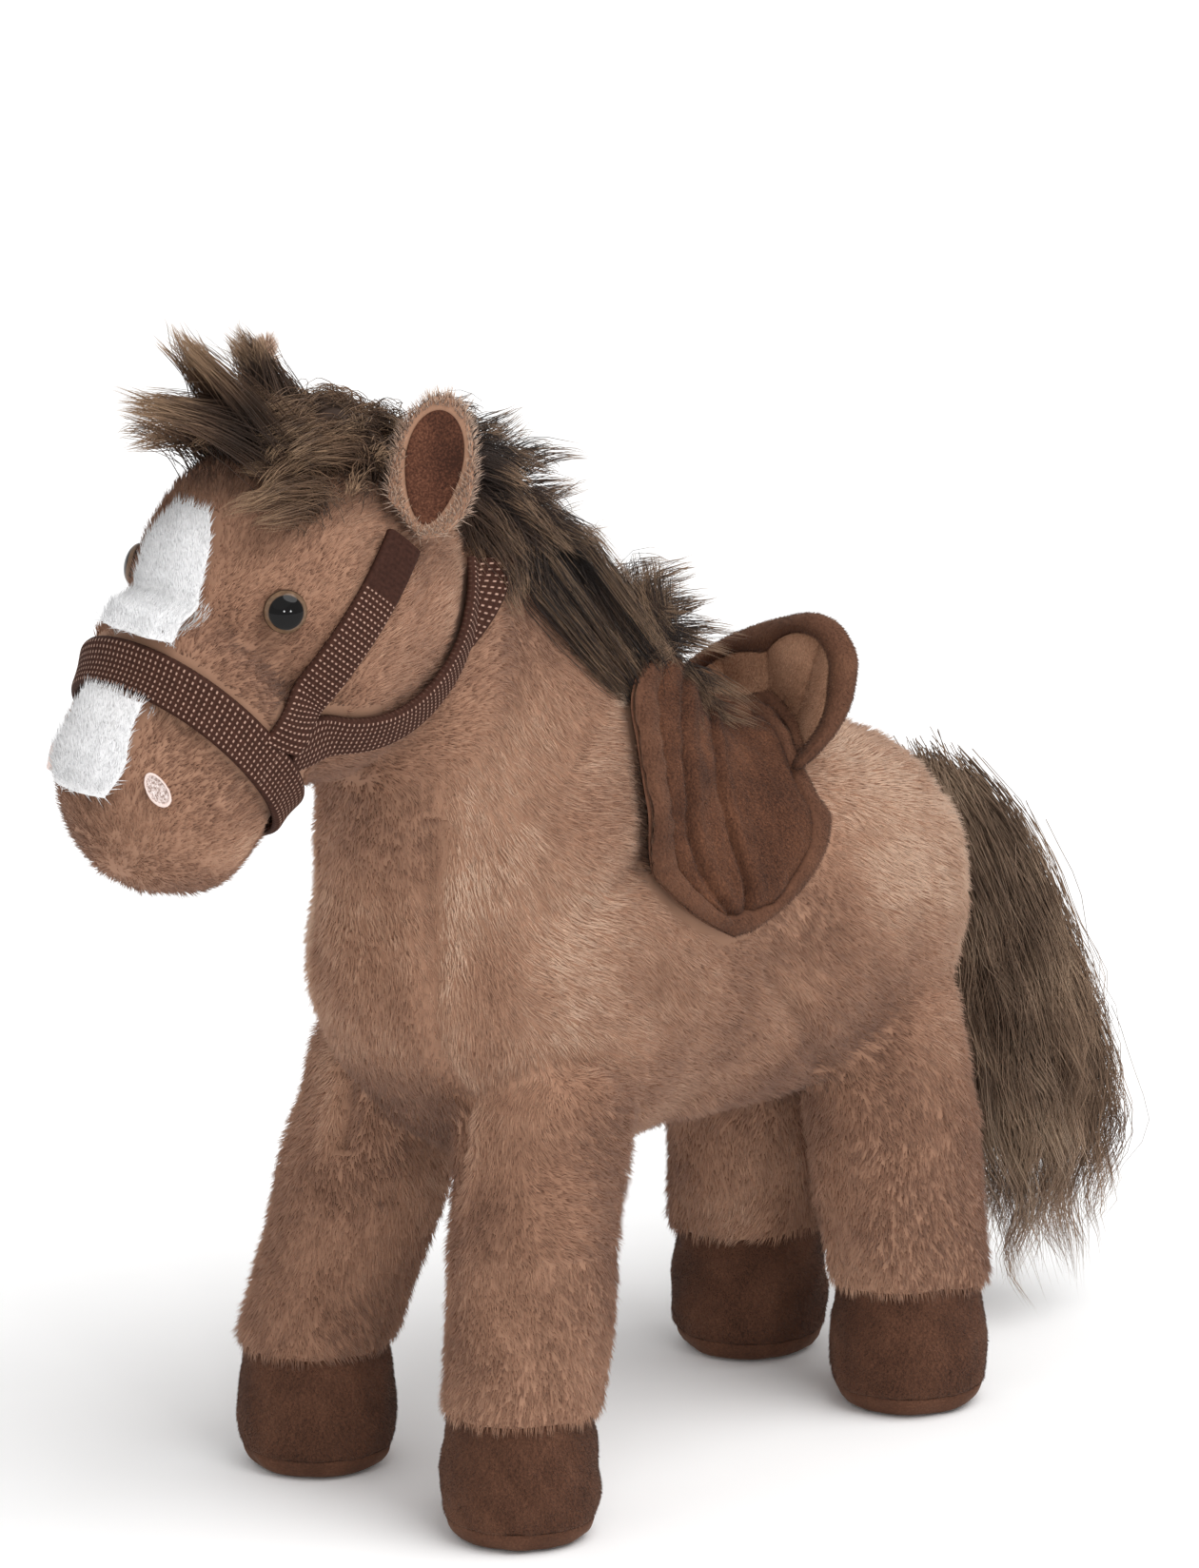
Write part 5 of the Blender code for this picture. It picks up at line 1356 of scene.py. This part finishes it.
def coat(region, lengths, seed):
    """Short pile over one region of the skin, drawn into small clumps."""
    random = np.random.default_rng(seed)
    roots, outward = scatter(*arrays(skins[region].data), COAT_DENSITY, random)
    free = free_reach(roots, outward, region)
    shown = free > 0.0024
    if region.startswith("leg"):
        shown &= ~((roots[:, 2] < 0.046) & (outward[:, 2] < -0.55))
    roots, outward, free = roots[shown], outward[shown], free[shown]
    x, y, z = roots.T
    count = len(roots)
    flow = combed(roots, outward, region) + random.normal(0, 0.16, (count, 3))
    long = random.uniform(*lengths, count) * (1 - 0.35 * falling(free, 0.0045, 0.002))
    ahead, raised = (roots - HEAD_CENTRE) @ MUZZLE_FORWARD, (roots - HEAD_CENTRE) @ MUZZLE_UP
    if region == "head":
        long *= 1 - 0.12 * rising(ahead, 0.02, 0.04)
    if region in ("torso", "head"):
        long *= 1 - 0.45 * bell(np.abs(x) - GUSSET_HALF, 0.0022) * gusset_reach(roots)
    lift = 0.50 + 0.10 * ripple(roots, 0.014, seed + 5) + random.normal(0, 0.07, count)
    tips = roots + unit(outward * lift[:, None] + flow) * long[:, None]
    picks = np.arange(0, count, 13)
    clump = picks[nearest(roots, roots[picks])]
    direction = tips + (tips[clump] - tips) * 0.30 - roots
    own = random.random(count)
    # these tones carry painted light and shade as well as each strand's own tone
    own_tones = 0.5 * own + 0.5 * own[clump] + painted_light_and_shade(roots, region)
    thick = random.uniform(0.00014, 0.00024, count)
    parts = 0 * x.astype(int)
    if region == "torso":
        parts = (x > 0) * 4 + (y > 0.03) * 2 + (z > 0.145)
    elif region == "head":
        parts = (x > 0) * 2 + (roots @ NECK_NORMAL > 0.262)
        parts[(np.abs(x) < 0.0122) & (raised > 0.015) & (ahead > 0.028) & (ahead < 0.062)] = WHITE_BRIDGE
    for number in np.unique(parts):
        chosen = parts == number
        name = "pile_" + region + (str(int(number)) if region in ("torso", "head") else "")
        material, slot_name = (white_pile, "white_plush") if number == WHITE_BRIDGE else (plush_pile, "plush")
        piece = spikes(name, (roots - outward * 0.0004)[chosen], unit(direction)[chosen],
                       np.linalg.norm(direction, axis=1)[chosen], thick[chosen], own_tones[chosen], material)
        dress(follow(piece, region))


coat("torso", (0.0040, 0.0060), 60)
coat("head", (0.0036, 0.0052), 61)
for number, name in enumerate(sorted(regions)):
    if name.startswith("leg"):
        coat(name, (0.0036, 0.0054), 62 + number)


# Long hair

MANE_RUN = np.array((0, 0.086, -0.088))
MANE_START = HEAD_CENTRE + (0, 0.042, 0.0275)
MANE_UP = unit(np.array((0, 0.088, 0.086)))
MANE_REACH = (
    (0.0, 0.024), (0.15, 0.031), (0.37, 0.019), (0.5, 0.025), (0.61, 0.030), (0.72, 0.028), (0.85, 0.034),
    (0.94, 0.021), (1.0, 0.015),
)
FORELOCK_FRONT, FORELOCK_BACK = -0.0185, 0.034
WHISKER_TIPS = ((0.002, -0.158, 0.353), (0, -0.176, 0.3400), (-0.026, -0.110, 0.3365))
HEAP_START = HEAD_CENTRE + (0, 0.024, 0.0420)
TAIL_START = TORSO_MIDDLE + (0, TORSO_LENGTH / 2 + 0.036, 0.024)
TAIL_HALVES = (0.0235, 0.0270)
TAIL_SHARES = (
    (0.0, 0.60, 0.60, -1.42), (0.12, 0.72, 0.72, -0.95), (0.35, 0.80, 0.72, -0.38), (0.65, 0.92, 0.90, 0.02),
    (0.85, 0.78, 0.78, 0.12), (1.0, 0.5, 0.5, 0.05),
)
TAIL_CORE_SHARES = (
    (0.0, 0.36, 0.36, -1.42), (0.15, 0.42, 0.42, -0.95), (0.44, 0.46, 0.42, -0.38), (0.81, 0.40, 0.40, 0.02),
    (1.0, 0.12, 0.12, 0.10),
)


def within(form, place, turn, share, section):
    """Points at a share of the way from a form's spine to its surface; past its ends the section stays."""
    held, inner = np.clip(place, *section), np.clip(place, 0, 1)
    spine = form.middle(inner) + (form.end - form.start) * (place - inner)[..., None]
    return spine + (form.points(held, turn) - form.middle(held)) * share[..., None]


def clear_of(tree, points, margin):
    """Move points that are under a surface, or too close to it, out to a margin above it."""
    flat = points.reshape(-1, 3).copy()
    for index, place in enumerate(flat.tolist()):
        spot, normal, _, _ = tree.find_nearest(place, 0.04)
        if spot is not None:
            rise = (Vector(place) - spot).dot(normal)
            if rise < margin:
                flat[index] += np.array(normal) * (margin - rise)
    return flat.reshape(points.shape)


def tress(name, guides, each, spread_root, seed, material, avoid=None, close=0.74, lighter=0):
    """Hairs round guide lines, drawn together towards the tips."""
    random = np.random.default_rng(seed)
    count, steps = guides.shape[:2]
    at = np.linspace(0, 1, steps)
    clump_tone = random.random(count)
    offsets = random.normal(0, spread_root, (count, each, 1, 3))
    gather = (1 - close * at**0.9)[None, None, :, None]
    wave = random.uniform(0, 2 * pi, (count, each, 1, 1))
    curl = np.sin(at[None, None, :, None] * 9 + wave) * random.normal(0, 0.0006, (count, each, 1, 3))
    lines = guides[:, None] + offsets * gather + curl * at[None, None, :, None]
    short = random.uniform(0.72, 1.0, (count, each))
    place = at[None, None] * short[..., None] * (steps - 1)
    first = np.minimum(place.astype(int), steps - 2)
    part = (place - first)[..., None]
    clump, single = np.arange(count)[:, None, None], np.arange(each)[None, :, None]
    lines = lines[clump, single, first] * (1 - part) + lines[clump, single, first + 1] * part
    lines = lines.reshape(-1, steps, 3)
    if avoid is not None:
        lines[:, 1:] = clear_of(avoid, lines[:, 1:], 0.0012)
    own_tones = 0.6 * np.repeat(clump_tone, each) + 0.4 * random.random(count * each) + lighter
    radii = 0.00014 * (1 - 0.55 * at) * random.uniform(0.7, 1.3, (count * each, 1))
    return dress(hairs(name, lines, radii, own_tones, material))


def core(name, form, grow, nodes, body=None):
    """The heart of a bunch of hair, which stands for its nodes; it is dark as painted shade inside the hair.
    """
    points, faces = form.surface(50, 64, grow)
    return dress(put(name, make_mesh(name, points, faces), hair_core_shade), nodes, body)


def bows(at, *corners):
    """Curves from four control points each, as rows of points."""
    first, second, third, fourth = (np.asarray(corner)[:, None] for corner in corners)
    at = at[0][None, :, None]
    left = 1 - at
    return first * left**3 + 3 * second * at * left**2 + 3 * third * at**2 * left + fourth * at**3


def make_mane(random, count=250):
    """Locks that stand up along the neck and fall to both sides."""
    at = np.linspace(0, 1, 8)[None]
    place = random.uniform(-0.04, 0.97, count)
    angle = radians(1) * random.uniform(-124, 124, count)
    loose = (random.random(count) < 0.45) & (np.abs(angle) < radians(75))
    spine = MANE_START + MANE_RUN * place[:, None]
    out = MANE_UP * np.cos(angle)[:, None] + SIDE * np.sin(angle)[:, None]
    crest = np.interp(place, *np.transpose(MANE_REACH))
    flank = 0.031 - 0.008 * rising(place, 0.75, 0.25)
    bend_share = np.sin(angle) ** 2
    radius = (crest * (1 - bend_share) + flank * bend_share) * random.uniform(0.84, 1.0, count)
    ahead = unit(MANE_RUN)
    drift = random.uniform(0.004, 0.012, count) + random.uniform(0.0, 0.024, count) * bend_share
    flare = loose * random.uniform(0.001, 0.009, count)
    ends = spine + out * (radius + flare)[:, None] + ahead * drift[:, None]
    ends -= UP * (0.004 * bend_share)[:, None]
    ends += (loose * random.uniform(-0.004, 0.009, count))[:, None] * np.array((0, 0.9, 0.3))
    guides = bows(
        at, spine + out * (radius * 0.15)[:, None] - ahead * 0.006,
        spine + out * (radius * 0.70)[:, None] - ahead * (0.005 - drift * 0.2)[:, None],
        spine + out * (radius * 1.02)[:, None] + ahead * (drift * 0.45)[:, None] + UP * 0.002, ends,
    )
    phase = random.uniform(0, 2 * pi, (count, 1))
    guides += (np.sin(at * 7 + phase) * 0.0022 * at)[..., None] * ahead
    guides += (np.cos(at * 8 + phase) * 0.0020 * at)[..., None] * SIDE
    guides[:, 1:] = clear_of(SKIN_TREE, guides[:, 1:], 0.0036)
    guides[:, 1:] = clear_of(SADDLE, guides[:, 1:], 0.0016)
    for number, chosen in ((1, slice(0, 84)), (2, slice(84, 168)), (3, slice(168, count))):
        locks = tress("mane_locks" + str(number), guides[chosen], 46, 0.0034, 90 + number, mane_pile,
                      SKIN_TREE, lighter=-0.2)
        follow(locks, "head")
    form = Form(MANE_START, MANE_START + MANE_RUN, MANE_UP, (0.030, 0.026),
                ((0, 0.75, 0.75, 0), (0.3, 1, 1, 0), (0.7, 1, 1, 0), (1, 0.8, 0.7, 0)), 1, 4)
    follow(core("mane_core", form, -0.0115, ("mane_lower", "mane_upper")), "head")


def make_forelock(random, count=150):
    """Hair rooted all over the crown and swept forward, with three bunches of long whiskers."""
    at = np.linspace(0, 1, 8)[None]
    across = random.uniform(-0.026, 0.026, count)
    roots = np.stack([across, random.uniform(FORELOCK_FRONT, FORELOCK_BACK, count), 0 * across], -1)
    share = rising(roots[:, 1], FORELOCK_FRONT, FORELOCK_BACK - FORELOCK_FRONT)
    inside = 1 - (roots[:, 0] / HEAD_HALF_WIDTH) ** 2 - (roots[:, 1] / HEAD_RADIUS) ** 2
    roots[:, 2] = np.sqrt(np.maximum(0.1, inside)) * HEAD_RADIUS - 0.003
    normal = unit(roots / np.array((HEAD_HALF_WIDTH, HEAD_RADIUS, HEAD_RADIUS)) ** 2)
    roots = roots + HEAD_CENTRE
    sweep = random.uniform(0.010, 0.036, count) * (1 - 0.45 * share)
    tuft = random.random(count) < 0.10
    sweep = np.where(tuft, random.uniform(-0.006, 0.010, count), sweep)
    rise = random.uniform(0.000, 0.007, count) + 0.005 * share + 0.002 * (roots[:, 0] < -0.008)
    aside = random.normal(0, 0.006, count) + roots[:, 0] * 0.10
    ends = roots + np.stack([aside, -sweep, rise], -1)
    guides = bows(
        at, roots, roots + normal * random.uniform(0.005, 0.009, count)[:, None],
        roots + (ends - roots) * 0.62 + normal * random.uniform(0.003, 0.008, count)[:, None], ends,
    )
    ahead = np.argsort(roots[:, 1] + 0.4 * np.abs(roots[:, 0]))
    hidden = np.argsort(np.linalg.norm(roots[:, :2] - (-0.016, HEAD_CENTRE[1] + 0.006), axis=1))
    for whiskers, tip in zip((ahead[:18:2], ahead[1:18:2], hidden[:14]), WHISKER_TIPS):
        start = roots[whiskers]
        aim = np.array(tip) + random.uniform(-0.0050, 0.0045, (len(whiskers), 3))
        run = aim - start
        middles = start + run * 0.30 + UP * 0.007, start + run * 0.65 + UP * 0.003
        guides[whiskers] = bows(at, start, *middles, aim)
    guides += (np.sin(at * 6 + random.uniform(0, 2 * pi, (count, 1))) * 0.0016 * at)[..., None] * SIDE
    guides[:, 2:] = clear_of(SKIN_TREE, guides[:, 2:], 0.0036)
    for number, chosen in ((1, slice(0, 75)), (2, slice(75, count))):
        locks = tress("forelock_locks" + str(number), guides[chosen], 56, 0.0033, 96 + number, forelock_pile)
        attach(locks, "head_and_neck")
    heap = Form(HEAP_START, HEAP_START + (0, -0.040, 0.004), UP, (0.020, 0.011),
                ((0, 0.9, 0.8, 0), (0.5, 1, 1, 0.1), (1, 0.7, 0.5, -0.1)), 1, 2)
    core("forelock_core", heap, 0, ("forelock",), "head_and_neck")


def make_tail(random, count=150):
    """Long locks that hang from the tail's root, some of them short and above the others."""
    at = np.linspace(0, 1, 10)[None]
    hanging = Form(TAIL_START, TAIL_START - UP * 0.160, (0, 1, 0), TAIL_HALVES, TAIL_SHARES, 1, 5)

    def drawn(low, high):
        return random.uniform(low, high, (count, 1))

    layer = random.random((count, 1)) < 0.45
    root = np.where(layer, drawn(0.10, 0.50), drawn(-0.01, 0.14))
    reach = np.where(layer, root + drawn(0.34, 0.56), drawn(0.74, 1.06))
    place = root + (np.minimum(reach, 1.06) - root) * at
    turn = drawn(0, 2 * pi) + random.normal(0, 0.35, (count, 1)) * at
    bulge = np.sin(np.minimum(1, at * 2) * pi / 2)
    share = np.where(layer, 0.74, 0.50) + drawn(0.16, 0.34) * bulge
    guides = within(hanging, place, turn, share, (0.02, 0.88))
    phase = drawn(0, 2 * pi)
    guides += (np.sin(at * 13 + phase) * 0.0036 * at)[..., None] * np.array((0.6, 0.8, 0))
    guides += (np.cos(at * 12 + phase) * 0.0034 * at)[..., None] * SIDE
    guides[..., 2] = np.maximum(guides[..., 2], 0.0055)
    for number, chosen in ((1, slice(0, 75)), (2, slice(75, count))):
        name = "tail_locks" + str(number)
        locks = tress(name, guides[chosen], 44, 0.0040, 100 + number, tail_pile, close=0.62)
        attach(locks, "tail_lock")
    bundle = Form(TAIL_START, TAIL_START - UP * 0.128, (0, 1, 0), TAIL_HALVES, TAIL_CORE_SHARES, 1, 4)
    core("tail_core", bundle, 0, ("tail",), "tail_lock")


random = np.random.default_rng(90)
make_mane(random)
make_forelock(random)
make_tail(random)


# Camera, light and floor

CAMERA_AIM = Vector((-0.0452, 0.0423, 0.1721))
CAMERA_DISTANCE, CAMERA_LENS = 6, 494


def toward(azimuth, elevation):
    """The direction to something at an azimuth and elevation in degrees, seen from the horse."""
    azimuth, elevation = radians(azimuth), radians(elevation)
    return Vector((sin(azimuth) * cos(elevation), -cos(azimuth) * cos(elevation), sin(elevation)))


def sun(name, strength, width, azimuth, elevation):
    data = bpy.data.lights.new(name, "SUN")
    data.energy, data.angle = strength, radians(width)
    put(name, data).rotation_euler = toward(azimuth, elevation).to_track_quat("Z", "Y").to_euler()


def studio_world():
    """Plain soft light all round, and pure white where the camera sees past the floor."""
    world = bpy.data.worlds.new("studio")
    world.use_nodes = True
    nodes, links = world.node_tree.nodes, world.node_tree.links
    nodes.clear()
    blend = nodes.new("ShaderNodeMixShader")
    links.new(nodes.new("ShaderNodeLightPath").outputs["Is Camera Ray"], blend.inputs[0])
    for number, strength in ((1, 0.68), (2, 1.0)):
        light = nodes.new("ShaderNodeBackground")
        light.inputs["Color"].default_value, light.inputs["Strength"].default_value = (1, 1, 1, 1), strength
        links.new(light.outputs[0], blend.inputs[number])
    links.new(blend.outputs[0], nodes.new("ShaderNodeOutputWorld").inputs["Surface"])
    return world


scene = bpy.context.scene
camera_data = bpy.data.cameras.new("camera")
camera_data.sensor_fit, camera_data.sensor_height = "VERTICAL", 36
camera_data.lens, camera_data.clip_end = CAMERA_LENS, 50
camera = put("camera", camera_data)
back = toward(47, 17.5)
camera.location = CAMERA_AIM + back * CAMERA_DISTANCE
camera.rotation_euler = back.to_track_quat("Z", "Y").to_euler()
scene.camera = camera
sun("key", 1.85, 50, 100, 60)
sun("fill", 0.20, 70, 35, 50)
sun("glint_left", 0.30, 5.5, 52, 9)
sun("glint_right", 0.30, 5.5, 73, 8)
scene.world = studio_world()
bpy.ops.mesh.primitive_circle_add(vertices=96, radius=7, fill_type="NGON", location=(0, 0, 0))
floor = bpy.context.object
floor.name = "floor"
floor.data.materials.append(floor_paint)
scene.view_settings.view_transform = "Standard"
